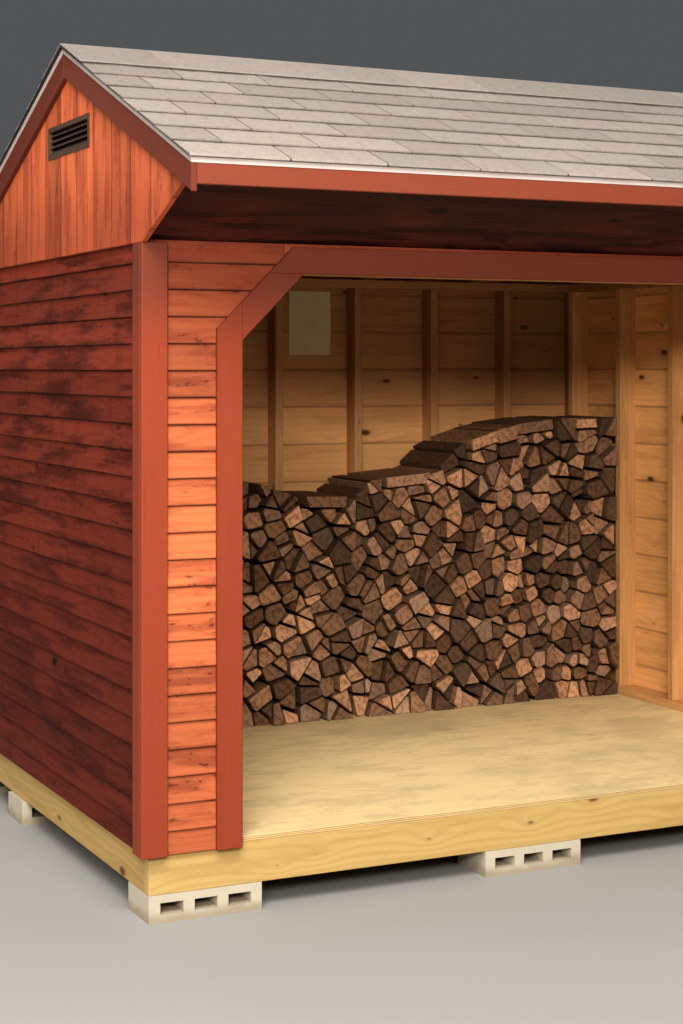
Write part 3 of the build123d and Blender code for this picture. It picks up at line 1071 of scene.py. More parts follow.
class Assembly:
    """Many small solids gathered into one mesh, each with its own grain and tone."""

    def __init__(self, name: str, seed: int) -> None:
        """Start an empty assembly.

        Args:
            name: The name that the finished piece takes.
            seed: Seed of its random draws.
        """
        self.name = name
        self.random = random.Random(seed)
        self.mesh = self.blank()

    @staticmethod
    def blank() -> bmesh.types.BMesh:
        """Start a mesh.

        Returns:
            An empty mesh with the two maps that the finishes read.
        """
        mesh = bmesh.new()
        mesh.loops.layers.uv.new(GRAIN_MAP)
        mesh.loops.layers.uv.new(FACTS_MAP)
        return mesh

    def draw_facts(self) -> Pair:
        """Two random numbers that tell one solid from the next."""
        return (self.random.random(), self.random.random())

    def draw_shift(self) -> Pair:
        """A random offset of the grain, so that no two solids match."""
        return (self.random.uniform(0.0, GRAIN_DRIFT), self.random.uniform(0.0, GRAIN_DRIFT))

    @staticmethod
    def map_grain(
        mesh: bmesh.types.BMesh, facts: Pair, shift: Pair, rise: Span | None = None
    ) -> None:
        """Lay the grain map along the first axis of a solid in its own frame.

        Args:
            mesh: The solid, its length along X, width along Y and thickness along Z.
            facts: The solid's tone and its second random number.
            shift: How far the map is moved.
            rise: Where the second number is to run from 0 to 1 across the width.
        """
        grain = mesh.loops.layers.uv[GRAIN_MAP]
        tone = mesh.loops.layers.uv[FACTS_MAP]
        for face in mesh.faces:
            normal = Vector(map(abs, face.normal))
            for loop in face.loops:
                place = loop.vert.co
                if normal.x > 0.7:
                    spot = (place.y, place.z)
                elif normal.z > 0.6:
                    spot = (place.x, place.y)
                else:
                    spot = (place.x, place.y + place.z)
                loop[grain].uv = (spot[0] + shift[0], spot[1] + shift[1])
                second = (place.y - rise[0]) / (rise[1] - rise[0]) if rise else facts[1]
                loop[tone].uv = (facts[0], second)

    def absorb(self, mesh: bmesh.types.BMesh) -> None:
        """Join a finished solid to the assembly.

        Args:
            mesh: The solid, which is freed.
        """
        data = bpy.data.meshes.new("solid")
        mesh.to_mesh(data)
        mesh.free()
        self.mesh.from_mesh(data)
        bpy.data.meshes.remove(data)

    def board(
        self,
        profile: Profile,
        length: Span,
        place: Matrix,
        cuts: Sequence[Plane] = (),
        edge: float = 0.0015,
        paint: Callable[[bmesh.types.BMFace], int] | None = None,
        facts: Pair | None = None,
        shift: Pair | None = None,
        rise: Span | None = None,
    ) -> None:
        """Add one board.

        Args:
            profile: Its section as (across, out) points.
            length: Where it starts and ends along its own first axis.
            place: The frame that carries it to its place.
            cuts: Planes in that frame that trim it.
            edge: Width of the worn edges.
            paint: Picks the number of a face's finish.
            facts: Its tone and second number, drawn at random if left out.
            shift: Offset of its grain, drawn at random if left out.
            rise: Where its second number is to run from 0 to 1 across the width.
        """
        mesh = self.blank()
        mesh.faces.new([mesh.verts.new((length[0], across, out)) for across, out in profile])
        extrude(mesh, (length[1] - length[0], 0.0, 0.0))
        for plane in cuts:
            trim_back(mesh, plane)
        if not mesh.faces:
            mesh.free()
            return
        mesh.normal_update()
        if edge:
            wear(mesh, edge)
        if paint:
            for face in mesh.faces:
                face.material_index = paint(face)
        drawn, drift = self.draw_facts(), self.draw_shift()
        self.map_grain(mesh, facts or drawn, shift or drift, rise)
        bmesh.ops.transform(mesh, matrix=place, verts=mesh.verts[:])
        self.absorb(mesh)

    def recast(self, node: str, edge: float, stained: Plane) -> None:
        """Add every solid of a CAD node, merged, with worn edges and a grain of its own.

        Args:
            node: The CAD node.
            edge: Width of the worn edges.
            stained: A plane; what lies on its normal's side takes finish 1.
        """
        whole = bmesh.new()
        whole.from_mesh(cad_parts[node].data)
        bmesh.ops.remove_doubles(whole, verts=whole.verts[:], dist=TOUCH)
        bmesh.ops.dissolve_limit(
            whole,
            angle_limit=0.01,
            use_dissolve_boundaries=False,
            verts=whole.verts[:],
            edges=whole.edges[:],
        )
        for layer in (GRAIN_MAP, FACTS_MAP):
            whole.loops.layers.uv.new(layer)
        whole.verts.index_update()
        for island in islands(whole):
            part = whole.copy()
            rest = [vert for vert in part.verts if vert.index not in island]
            bmesh.ops.delete(part, geom=rest, context="VERTS")
            part.normal_update()
            place = lie_of(part)
            bmesh.ops.transform(part, matrix=place.inverted(), verts=part.verts[:])
            wear(part, edge)
            drift = self.draw_shift()
            self.map_grain(part, self.draw_facts(), drift)
            bmesh.ops.transform(part, matrix=place, verts=part.verts[:])
            cut(part, stained)
            point, normal = stained
            for face in part.faces:
                if (face.calc_center_median() - point).dot(normal) > 0.0:
                    face.material_index = 1
            self.absorb(part)
        whole.free()

    def finish(
        self, materials: Sequence[bpy.types.Material], slot: str, *nodes: str
    ) -> bpy.types.Object:
        """Turn the assembly into a piece that rides on the store.

        Args:
            materials: Its finishes, in the order of the face numbers.
            slot: The record's material slot; not used.
            nodes: The CAD nodes that it stands for.

        Returns:
            The piece.
        """
        data = bpy.data.meshes.new(self.name)
        self.mesh.to_mesh(data)
        self.mesh.free()
        for material in materials:
            data.materials.append(material)
        piece = bpy.data.objects.new(self.name, data)
        bpy.context.scene.collection.objects.link(piece)
        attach(piece, "root")
        if nodes:
            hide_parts(*nodes)
        log.info("%s: %d faces", self.name, len(data.polygons))
        return piece


def slab(across: Span, out: Span) -> Profile:
    """A rectangular section."""
    return [(across[0], out[0]), (across[1], out[0]), (across[1], out[1]), (across[0], out[1])]


@dataclass
class Siding:
    """Lapped boards on the walls, stained outside and bare inside.

    Attributes:
        step: How far a lap leans in from its foot to its head.
        joint_share: Share of the courses that are butted over a stud.
        first_rear_stud: Distance of the rear wall's first stud from the corner.
        front_joint: Distance of the joint over the opening from the opening's side.
        brace_cover: Width of the siding that shows behind a brace.
    """

    layout: Layout
    finishes: Finishes
    first_lap: float = 0.075
    lap: float = 0.08735
    step: float = 0.009
    joint_share: float = 0.22
    joint_gap: float = 0.0008
    first_rear_stud: float = 0.170
    front_joint: float = 0.9
    front_gap: float = 0.001
    brace_cover: float = 0.088

    def courses(self, top: float, first: int = 1) -> list[Span]:
        """Share a wall's height among its boards, two laps to a board after the first.

        Args:
            top: Upper edge of the siding.
            first: How many laps the first board has above the lowest.

        Returns:
            Lower and upper edge of each board.
        """
        foot = self.layout.siding_foot
        edges = [foot, foot + self.first_lap + first * self.lap]
        while edges[-1] < top:
            edges.append(edges[-1] + 2 * self.lap)
        edges[-1] = top
        return list(zip(edges, edges[1:]))

    def profile(self, low: float, high: float) -> Profile:
        """Draw the section of a board.

        Args:
            low: Its lower edge.
            high: Its upper edge.

        Returns:
            The section, measured from its lower edge and from the wall.
        """
        thick = self.layout.board
        points = [(0.0, 0.0)]
        foot = self.layout.siding_foot + self.first_lap - self.lap
        while foot < high - TOUCH:
            head = foot + self.lap
            start, end = max(foot, low), min(head, high)
            if end - start > SLIVER:
                for z in (start, end):
                    points.append((z - low, thick - self.step * (z - foot) / self.lap))
            foot = head
        points.append((high - low, 0.0))
        return points

    @staticmethod
    def inside_bare(face: bmesh.types.BMFace) -> int:
        """The back of a board is bare wood; the rest is stained."""
        return 1 if face.normal.z < -0.5 else 0

    def mark_laps(self, assembly: Assembly, node: str, first: int = 1) -> None:
        """Write how far up its lap, or its board inside, each point of the siding is.

        Args:
            assembly: The siding of one wall.
            node: A piece of the CAD model that runs the way the boards do.
            first: How many laps the second board starts above the first lap's top.
        """
        facts = assembly.mesh.loops.layers.uv[FACTS_MAP]
        foot = self.layout.siding_foot + self.first_lap
        low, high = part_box(node)
        axis = 0 if high.x - low.x > high.y - low.y else 1
        for face in assembly.mesh.faces:
            inside = face.material_index == 1
            step = 2 * self.lap if inside else self.lap
            base = foot + first * self.lap if inside else foot
            start = base + math.floor((face.calc_center_median().z - base) / step) * step
            butt = abs(face.normal[axis]) > 0.4
            for loop in face.loops:
                loop[facts].uv.y = 0.0 if butt else (loop.vert.co.z - start) / step

    def wall(
        self,
        assembly: Assembly,
        origin: Vector,
        along: Vector,
        length: float,
        top: float,
        studs: Sequence[float],
    ) -> None:
        """Cover one wall, with some boards butted over a stud.

        Args:
            assembly: The mesh that takes the boards.
            origin: Lower start corner of the wall's outer face.
            along: Direction of the boards, outside to the right of it seen from above.
            length: Length of the wall.
            top: Upper edge of the siding.
            studs: Places along the wall where a joint may fall.
        """
        gap = self.joint_gap
        for low, high in self.courses(top):
            place = frame_of((origin.x, origin.y, low), along, AXIS_Z)
            breaks = [0.0, length]
            if assembly.random.random() < self.joint_share:
                breaks.insert(1, assembly.random.choice(studs))
            for start, end in zip(breaks, breaks[1:]):
                span = (start + (gap if start else 0.0), end - (gap if end < length else 0.0))
                assembly.board(self.profile(low, high), span, place, paint=self.inside_bare)

    def build_sides(self) -> None:
        """Build the two side walls."""
        plan = self.layout
        length = plan.rear - plan.front + 2 * plan.board
        studs = [plan.board + plan.stud_spacing * number for number in range(1, 5)]
        for name, seed, x, y, along in (
            ("left", 11, plan.left, plan.rear + plan.board, -1.0),
            ("right", 12, plan.right, plan.front - plan.board, 1.0),
        ):
            assembly = Assembly(f"siding_boards_{name}", seed)
            places = studs if along > 0 else [length - stud for stud in studs]
            origin = Vector((x, y, 0.0))
            self.wall(assembly, origin, AXIS_Y * along, length, plan.plate, places)
            self.mark_laps(assembly, f"siding_{name}")
            coats = [self.finishes.add(WALL_STAIN), self.finishes.add(LIT_SIDE_PINE)]
            assembly.finish(coats, "stained_siding", f"siding_{name}")

    def build_rear(self) -> None:
        """Build the rear wall."""
        plan = self.layout
        assembly = Assembly("siding_boards_rear", 13)
        length = plan.right - plan.left
        studs = [length - self.first_rear_stud - plan.stud_spacing * k for k in range(1, 6)]
        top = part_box("siding_rear")[1].z
        origin = Vector((plan.right, plan.rear, 0.0))
        self.wall(assembly, origin, -AXIS_X, length, top, studs)
        self.mark_laps(assembly, "siding_rear")
        coats = [self.finishes.add(WALL_STAIN), self.finishes.add(BARE_PINE)]
        assembly.finish(coats, "stained_siding", "siding_rear")

    def build_front(self) -> None:
        """Build the front returns, the corners behind the braces and the band over the opening."""
        plan = self.layout
        assembly = Assembly("siding_boards_front", 14)
        length = plan.right - plan.left
        middle = -plan.opening - plan.left + self.front_joint
        for low, high in self.courses(plan.plate, first=0):
            place = frame_of((plan.left, plan.front, low), AXIS_X, AXIS_Z)
            if low < plan.lintel:
                self.lay_beside_opening(assembly, place, low, high)
                continue
            for span in ((0.0, middle), (middle + self.front_gap, length)):
                assembly.board(self.profile(low, high), span, place, paint=self.inside_bare)
        self.mark_laps(assembly, "siding_over_opening", first=0)
        coats = [self.finishes.add(FRONT_STAIN), self.finishes.add(BARE_PINE)]
        nodes = ("siding_front_left", "siding_front_right", "siding_over_opening")
        assembly.finish(coats, "stained_siding", *nodes)

    def lay_beside_opening(
        self, assembly: Assembly, place: Matrix, low: float, high: float
    ) -> None:
        """Lay one course on both returns, and behind the braces and under the lintel's top.

        Args:
            assembly: The mesh that takes the boards.
            place: The course's frame.
            low: Lower edge of the course.
            high: Upper edge of the course.
        """
        plan = self.layout
        profile = self.profile(low, high)
        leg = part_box("siding_over_opening")[0].z
        corner = plan.lintel - leg
        length = plan.right - plan.left
        left_edge = -plan.opening - plan.left
        right_edge = length - left_edge
        reach = max(0.0, min(high, plan.lintel) - leg)
        for span, edge_x, side in (
            ((0.0, left_edge + reach), left_edge, 1.0),
            ((right_edge - reach, length), right_edge, -1.0),
        ):
            start = Vector((edge_x, leg - low, 0.0))
            slope = Vector((side * DIAGONAL, -DIAGONAL, 0.0))
            cuts = [(start, slope)] if reach else []
            assembly.board(profile, span, place, cuts, paint=self.inside_bare)
            if reach and low < leg:
                near, far = sorted((edge_x, edge_x - side * self.brace_cover))
                rest = [(start, -slope), (start, AXIS_Y)]
                assembly.board(
                    profile, (near, far), place, rest, edge=0.0, paint=self.inside_bare
                )
        if high > plan.lintel:
            below = [(Vector((0.0, plan.lintel - low, 0.0)), -AXIS_Y)]
            span = (left_edge + corner, right_edge - corner)
            assembly.board(profile, span, place, below, paint=self.inside_bare)


@dataclass
class Trim:
    """Smooth stained boards at the corners, round the opening and along the eaves."""

    layout: Layout
    finishes: Finishes
    edge: float = 0.0025
    brace_stock: Span = (-0.2, 0.5)
    rake_stock: Span = (-0.1, 1.8)
    ridge_gap: float = 0.0003

    def upright(self, assembly: Assembly, x: Span, y: Span, z: Span) -> None:
        """Add an upright board that fills three spans."""
        assembly.board(slab(x, y), z, STANDING, edge=self.edge)

    def level(self, assembly: Assembly, x: Span, y: Span, z: Span) -> None:
        """Add a board along X that fills three spans."""
        assembly.board(slab(y, z), x, LYING, edge=self.edge)

    def build_corners(self) -> None:
        """Build the boards that wrap the four corners."""
        plan = self.layout
        thin = plan.board
        for number, name in enumerate(("front_left", "front_right", "rear_left", "rear_right")):
            node = f"corner_boards_{name}"
            low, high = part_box(node)
            assembly = Assembly(f"corner_trim_{name}", 20 + number)
            front, left = name.startswith("front"), name.endswith("left")
            face_y = (low.y, low.y + thin) if front else (high.y - thin, high.y)
            side_y = (low.y + thin, high.y) if front else (low.y, high.y - thin)
            side_x = (low.x, low.x + thin) if left else (high.x - thin, high.x)
            self.upright(assembly, (low.x, high.x), face_y, (low.z, high.z))
            self.upright(assembly, side_x, side_y, (low.z, min(high.z, plan.trim_top)))
            assembly.finish([self.finishes.add(TRIM_STAIN)], "stained_trim", node)

    @property
    def front(self) -> Span:
        """Front and rear face of the trim round the opening."""
        return (self.layout.front - 2 * self.layout.board, self.layout.front - self.layout.board)

    def build_opening(self) -> None:
        """Build the jambs, the corner braces and the lintel."""
        for number, (name, side) in enumerate(SIDES):
            self.build_jamb(name, side, 30 + number)
            self.build_brace(name, side, 33 + number)
        low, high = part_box("lintel_trim")
        lintel = Assembly("lintel_board", 36)
        cuts = []
        for side, x in ((-1.0, low.x), (1.0, high.x)):
            slope = Vector((side * DIAGONAL, 0.0, DIAGONAL))
            cuts.append((Vector((x, 0.0, low.z)), slope))
        section = slab(self.front, (low.z, high.z))
        lintel.board(section, (low.x, high.x), LYING, cuts, edge=self.edge)
        lintel.finish([self.finishes.add(TRIM_STAIN)], "stained_trim", "lintel_trim")

    def build_jamb(self, name: str, side: float, seed: int) -> None:
        """Build the board beside the opening, its upper end cut to the brace.

        Args:
            name: The side's name.
            side: The side's sign along X.
            seed: Seed of its random draws.
        """
        low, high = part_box(f"jamb_trim_{name}")
        inner = side * self.layout.opening
        clip = (Vector((high.z, inner, 0.0)), Vector((DIAGONAL, side * DIAGONAL, 0.0)))
        jamb = Assembly(f"jamb_boards_{name}", seed)
        section = slab((low.x, high.x), self.front)
        jamb.board(section, (low.z, high.z), STANDING, [clip], edge=self.edge)
        jamb.finish([self.finishes.add(TRIM_STAIN)], "stained_trim", f"jamb_trim_{name}")

    def build_brace(self, name: str, side: float, seed: int) -> None:
        """Build the slanting board in the opening's upper corner.

        Args:
            name: The side's name.
            side: The side's sign along X.
            seed: Seed of its random draws.
        """
        plan = self.layout
        low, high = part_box(f"brace_trim_{name}")
        foot = Vector((side * plan.opening, self.front[1], low.z))
        place = frame_of(foot, (-side, 0.0, 1.0), (1.0, 0.0, side))
        cuts = [plane_in(place, foot, AXIS_X * side), plane_in(place, AXIS_Z * high.z, AXIS_Z)]
        across = (0.0, plan.trim) if side > 0 else (-plan.trim, 0.0)
        thick = (0.0, plan.board) if place.col[2].y < 0 else (-plan.board, 0.0)
        brace = Assembly(f"brace_boards_{name}", seed)
        brace.board(slab(across, thick), self.brace_stock, place, cuts, edge=self.edge)
        brace.finish([self.finishes.add(TRIM_STAIN)], "stained_trim", f"brace_trim_{name}")

    def build_eaves(self) -> None:
        """Build the fascia boards and the rakes."""
        for number, name in enumerate(("fascia_front", "fascia_rear")):
            low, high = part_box(name)
            assembly = Assembly(f"{name}_board", 40 + number)
            self.level(assembly, (low.x, high.x), (low.y, high.y), (low.z, high.z))
            assembly.finish([self.finishes.add(SHADED_EAVE_STAIN)], "stained_trim", name)
        plan = self.layout
        for number, name in enumerate(("left", "right")):
            node = f"rake_boards_{name}"
            low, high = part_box(node)
            assembly = Assembly(f"rake_trim_{name}", 44 + number)
            for downhill, end in ((-1.0, plan.eave), (1.0, plan.rear_eave)):
                self.rake(assembly, (low.x, high.x), downhill, end)
            assembly.finish([self.finishes.add(SHADED_RAKE_STAIN)], "stained_trim", node)

    def rake(self, assembly: Assembly, x: Span, downhill: float, end: float) -> None:
        """Add one sloping board, cut plumb at the ridge and at the eave.

        Args:
            assembly: The mesh that takes it.
            x: Its two faces.
            downhill: The sign of Y towards the eave.
            end: The eave's place along Y.
        """
        plan = self.layout
        origin = Vector((0.0, plan.ridge.y, plan.ridge.z - plan.sheathing))
        along = (0.0, downhill, -plan.pitch)
        place = frame_of(origin, along, (0.0, -downhill * plan.pitch, -1.0))
        thick = x if place.col[2].x > 0 else (-x[1], -x[0])
        start = plan.ridge.y + downhill * self.ridge_gap
        cuts = [
            plane_in(place, Vector((0.0, start, plan.ridge.z)), AXIS_Y * -downhill),
            plane_in(place, Vector((0.0, end, plan.ridge.z)), AXIS_Y * downhill),
        ]
        assembly.board(slab((0.0, plan.trim), thick), self.rake_stock, place, cuts, edge=self.edge)


@dataclass
class Gable:
    """Upright boards that close the gable ends and the cheeks of the front overhang."""

    layout: Layout
    finishes: Finishes
    width: float = 0.187
    edge: float = 0.0018
    flange: float = 0.008
    screen: float = 0.0006
    screen_edge: float = 0.0002

    def build(self) -> None:
        """Build both gable ends."""
        for number, (name, side) in enumerate(SIDES):
            low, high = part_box(f"vent_{name}")
            hole = (low.y + self.flange, high.y - self.flange)
            hole_z = (low.z + self.flange, high.z - self.flange)
            low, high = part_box(f"gable_{name}")
            self.build_boards(name, hole, hole_z, 50 + number)
            inner = high.x if side < 0 else low.x - self.screen
            screen = Assembly(f"vent_screen_{name}", 56 + number)
            section = slab(hole, (inner, inner + self.screen))
            screen.board(section, hole_z, STANDING_SIDEWAYS, edge=self.screen_edge)
            screen.finish([self.finishes.add(SCREEN_METAL)], "vent_metal")

    def build_boards(self, name: str, hole: Span, hole_z: Span, seed: int) -> None:
        """Build the boards of one end, cut to the roof and to the cheek.

        Args:
            name: The end's name.
            hole: The vent hole's sides along Y.
            hole_z: Its lower and upper edge.
            seed: Seed of the random draws.
        """
        plan = self.layout
        low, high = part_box(f"gable_{name}")
        assembly = Assembly(f"gable_boards_{name}", seed)
        peak = Vector((plan.ridge.z - plan.sheathing, plan.ridge.y, 0.0))
        steep = Vector((1.0, plan.pitch, 0.0)).normalized()
        cheek = Vector((low.z, plan.front - 2 * plan.board, 0.0))
        cuts = [
            (peak, Vector((steep.x, steep.y, 0.0))),
            (peak, Vector((steep.x, -steep.y, 0.0))),
            (cheek, Vector((-1.0, -plan.soffit_slope, 0.0)).normalized()),
        ]
        start = low.y
        while start < high.y - TOUCH:
            end = min(start + self.width, high.y)
            facts, shift = assembly.draw_facts(), assembly.draw_shift()
            for y, z in self.pieces((start, end), hole, hole_z, (low.z, high.z)):
                assembly.board(
                    slab(y, (low.x, high.x)),
                    z,
                    STANDING_SIDEWAYS,
                    cuts,
                    edge=self.edge,
                    facts=facts,
                    shift=shift,
                    rise=(start, start + self.width),
                )
            start = end
        assembly.finish([self.finishes.add(GABLE_STAIN)], "stained_siding", f"gable_{name}")

    @staticmethod
    def pieces(y: Span, hole: Span, hole_z: Span, z: Span) -> list[tuple[Span, Span]]:
        """Split one board round the vent hole.

        Args:
            y: The board's two edges.
            hole: The hole's sides.
            hole_z: The hole's lower and upper edge.
            z: The board's two ends.

        Returns:
            Rectangles, each given by its edges and its ends.
        """
        low, high = max(y[0], hole[0]), min(y[1], hole[1])
        if high - low < SLIVER:
            return [(y, z)]
        parts = [((low, high), (z[0], hole_z[0])), ((low, high), (hole_z[1], z[1]))]
        if low - y[0] > SLIVER:
            parts.append(((y[0], low), z))
        if y[1] - high > SLIVER:
            parts.append(((high, y[1]), z))
        return parts


@dataclass
class Soffit:
    """Boards under the front overhang."""

    layout: Layout
    finishes: Finishes
    width: float = 0.1747
    tuck: float = 0.02
    joints: Sequence[float] = (1.3, 2.1, 0.8)
    gap: float = 0.001

    def build(self) -> None:
        """Build the sloping rows of boards."""
        plan = self.layout
        low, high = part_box("soffit_boards")
        assembly = Assembly("soffit_rows", 60)
        origin = Vector((0.0, plan.front, plan.plate))
        place = frame_of(origin, AXIS_X, (0.0, -1.0, plan.soffit_slope))
        drop = plan.sheathing + plan.rafter * plan.slope_length
        under_ridge = Vector((0.0, plan.ridge.y, plan.ridge.z - drop))
        roof_normal = Vector((0.0, -plan.pitch, 1.0)).normalized()
        cuts = [plane_in(place, under_ridge, roof_normal), plane_in(place, origin, AXIS_Y)]
        thick = (0.0, plan.board) if place.col[2].z > 0 else (-plan.board, 0.0)
        for number, distance in enumerate(self.joints):
            start = number * self.width - self.tuck
            joint = plan.left + distance
            for span in ((low.x, joint), (joint + self.gap, high.x)):
                assembly.board(slab((start, start + self.width), thick), span, place, cuts)
        assembly.finish([self.finishes.add(SHADED_SOFFIT_STAIN)], "stained_siding", "soffit_boards")


@dataclass
class Roof:
    """Courses of shingle tabs on both slopes, with a bent cap along the ridge.

    Attributes:
        run: Exposure of a course, measured in plan.
        tab: Width of a tab with its slot.
        narrowest: Least width of a tab at the ends of a course.
        butt: Height of a tab's lower edge above the sheathing.
        thin: Height of its upper edge.
        bed: Height of the strip under the tabs, which takes the painted shadow colour in full.
        bed_start: How far that strip lies back from the tabs' lower edge.
        lift: Gap under a tab's lower edge.
        past_ridge: How far the last course passes the ridge before it is cut.
        last_rise: Reach of the last course's shade, in courses.
        cap_run: Half of the cap's width, measured in plan.
        cap_cover: How far the cap covers the last course's shade.
        cap_rise: Span that keeps the shade off the cap.
    """

    layout: Layout
    finishes: Finishes
    run: float = 0.1495
    tab: float = 0.330
    slot: float = 0.006
    narrowest: float = 0.01
    tab_edge: float = 0.0008
    butt: float = 0.008
    thin: float = 0.003
    bed: float = 0.0025
    bed_start: float = 0.001
    lift: float = 0.0005
    past_ridge: float = 0.01
    last_rise: float = 1.8
    cap_run: float = 0.225
    cap_cover: float = 0.004
    cap_thickness: float = 0.005
    cap_exposure: float = 0.330
    cap_gap: float = 0.0012
    cap_edge: float = 0.001
    cap_rise: Span = (-4.0, 4.0)

    def slope_frame(self, edge: float, uphill: float) -> Matrix:
        """Lay a frame on one slope.

        Args:
            edge: The eave's place along Y.
            uphill: The sign of Y towards the ridge.

        Returns:
            A frame with X along the ridge, Y up the slope and Z out of the roof.
        """
        across = (0.0, uphill, self.layout.pitch)
        return frame_of((0.0, edge, self.layout.roof(edge)), AXIS_X * uphill, across)

    def build_slope(self, name: str, seed: int, uphill: float) -> None:
        """Build the courses of one slope.

        Args:
            name: The slope's name.
            seed: Seed of its tones.
            uphill: The sign of Y towards the ridge.
        """
        plan = self.layout
        low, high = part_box(f"shingles_{name}")
        edge = low.y if uphill > 0 else high.y
        place = self.slope_frame(edge, uphill)
        eave = Vector((0.0, edge, plan.roof(edge)))
        up = AXIS_Y * uphill
        cuts = [plane_in(place, plan.ridge, up), plane_in(place, eave, -up)]
        stretch = plan.slope_length
        total = abs(plan.ridge.y - edge) * stretch
        assembly = Assembly(f"shingle_tabs_{name}", seed)
        row, start = 0, 0.0
        while start < total - self.cap_run * stretch:
            last = start + self.run * stretch > total - self.cap_run * stretch
            end = total + self.past_ridge if last else start + self.run * stretch
            head = self.butt if last else self.thin
            bare = total - (self.cap_run - self.cap_cover) * stretch if last else end
            rise = (bare - self.run * stretch * (self.last_rise if last else 1.0), bare)
            base = slab((start + self.bed_start, end), (0.0, self.bed))
            # The strip under the tabs shows only in the slots, in the full painted shadow colour.
            assembly.board(base, (low.x, high.x), place, cuts, edge=0.0, facts=(0.0, 1.0))
            section = [(start, self.lift), (end, self.bed), (end, head), (start, self.butt)]
            x = low.x - (self.tab / 2 if row % 2 else 0.0)
            while x < high.x:
                slot = self.slot / 2
                span = (max(low.x, x + slot), min(high.x, x + self.tab - slot))
                if span[1] - span[0] > self.narrowest:
                    assembly.board(section, span, place, cuts, edge=self.tab_edge, rise=rise)
                x += self.tab
            start = end
            row += 1
        assembly.finish([self.finishes.add(ROOF_SHINGLE)], "roof_shingle", f"shingles_{name}")

    def build_cap(self) -> None:
        """Build the overlapping cap pieces along the ridge."""
        plan = self.layout
        low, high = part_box("ridge_cap")
        assembly = Assembly("ridge_cap_pieces", 72)
        stretch = plan.slope_length
        crown = high.z - self.cap_thickness * stretch
        reach = self.cap_run
        drop = reach * plan.pitch
        place = frame_of((0.0, plan.ridge.y, crown), AXIS_X, AXIS_Y)
        thick = self.cap_thickness * stretch
        section = [
            (-reach, -drop),
            (0.0, 0.0),
            (reach, -drop),
            (reach, thick - drop),
            (0.0, thick),
            (-reach, thick - drop),
        ]
        x = low.x
        while x < high.x - self.narrowest:
            end = min(x + self.cap_exposure, high.x)
            span = (x, end - self.cap_gap)
            assembly.board(section, span, place, edge=self.cap_edge, rise=self.cap_rise)
            x = end
        assembly.finish([self.finishes.add(ROOF_SHINGLE)], "roof_shingle", "ridge_cap")

    def build(self) -> None:
        """Build both slopes and the cap."""
        self.build_slope("front", 70, 1.0)
        self.build_slope("rear", 71, -1.0)
        self.build_cap()


@dataclass
class Cell:
    """The end of one log: the part of the stack's face that a set of planes bounds."""

    middle: Vector
    planes: list[Plane]
    area: float = 0.0
    corners: list[Vector] = field(default_factory=list)
    widest: float = 0.32
    ways: int = 12
    slant: float = 0.22
    offset: float = 0.14

    def measure(self) -> bool:
        """Find the corners, the area and the middle.

        Returns:
            Whether anything is left between the planes.
        """
        mesh = bmesh.new()
        facing = Matrix.Translation(self.middle) @ Matrix.Rotation(math.pi / 2, 4, "X")
        bmesh.ops.create_circle(
            mesh, cap_ends=True, segments=16, radius=self.widest, matrix=facing
        )
        for plane in self.planes:
            cut(mesh, plane, drop=True)
        kept = bool(mesh.faces)
        if kept:
            self.corners = [vert.co.copy() for vert in mesh.verts]
            self.area = sum(face.calc_area() for face in mesh.faces)
            middles = [face.calc_center_median_weighted() for face in mesh.faces]
            self.middle = sum(middles, Vector()) / len(middles)
        mesh.free()
        return kept

    def extent(self, way: Vector) -> float:
        """Width of the region along a direction."""
        reach = [corner.dot(way) for corner in self.corners]
        return max(reach) - min(reach)

    def split(self, rng: random.Random, gap: float) -> list["Cell"]:
        """Split the region across its longest way, as an axe does.

        Args:
            rng: Source of the split's slant.
            gap: Width of the gap that it leaves.

        Returns:
            The two parts.
        """
        turns = [0.26 * number for number in range(self.ways)]
        ways = [Vector((math.cos(turn), 0.0, math.sin(turn))) for turn in turns]
        longest = max(ways, key=self.extent)
        slant = rng.gauss(0.0, self.slant)
        normal = Matrix.Rotation(slant, 3, "Y") @ longest
        offset = rng.uniform(-self.offset, self.offset)
        point = self.middle + longest * self.extent(longest) * offset
        sides = ((point - normal * gap / 2, normal), (point + normal * gap / 2, -normal))
        return [Cell(self.middle.copy(), [*self.planes, side]) for side in sides]


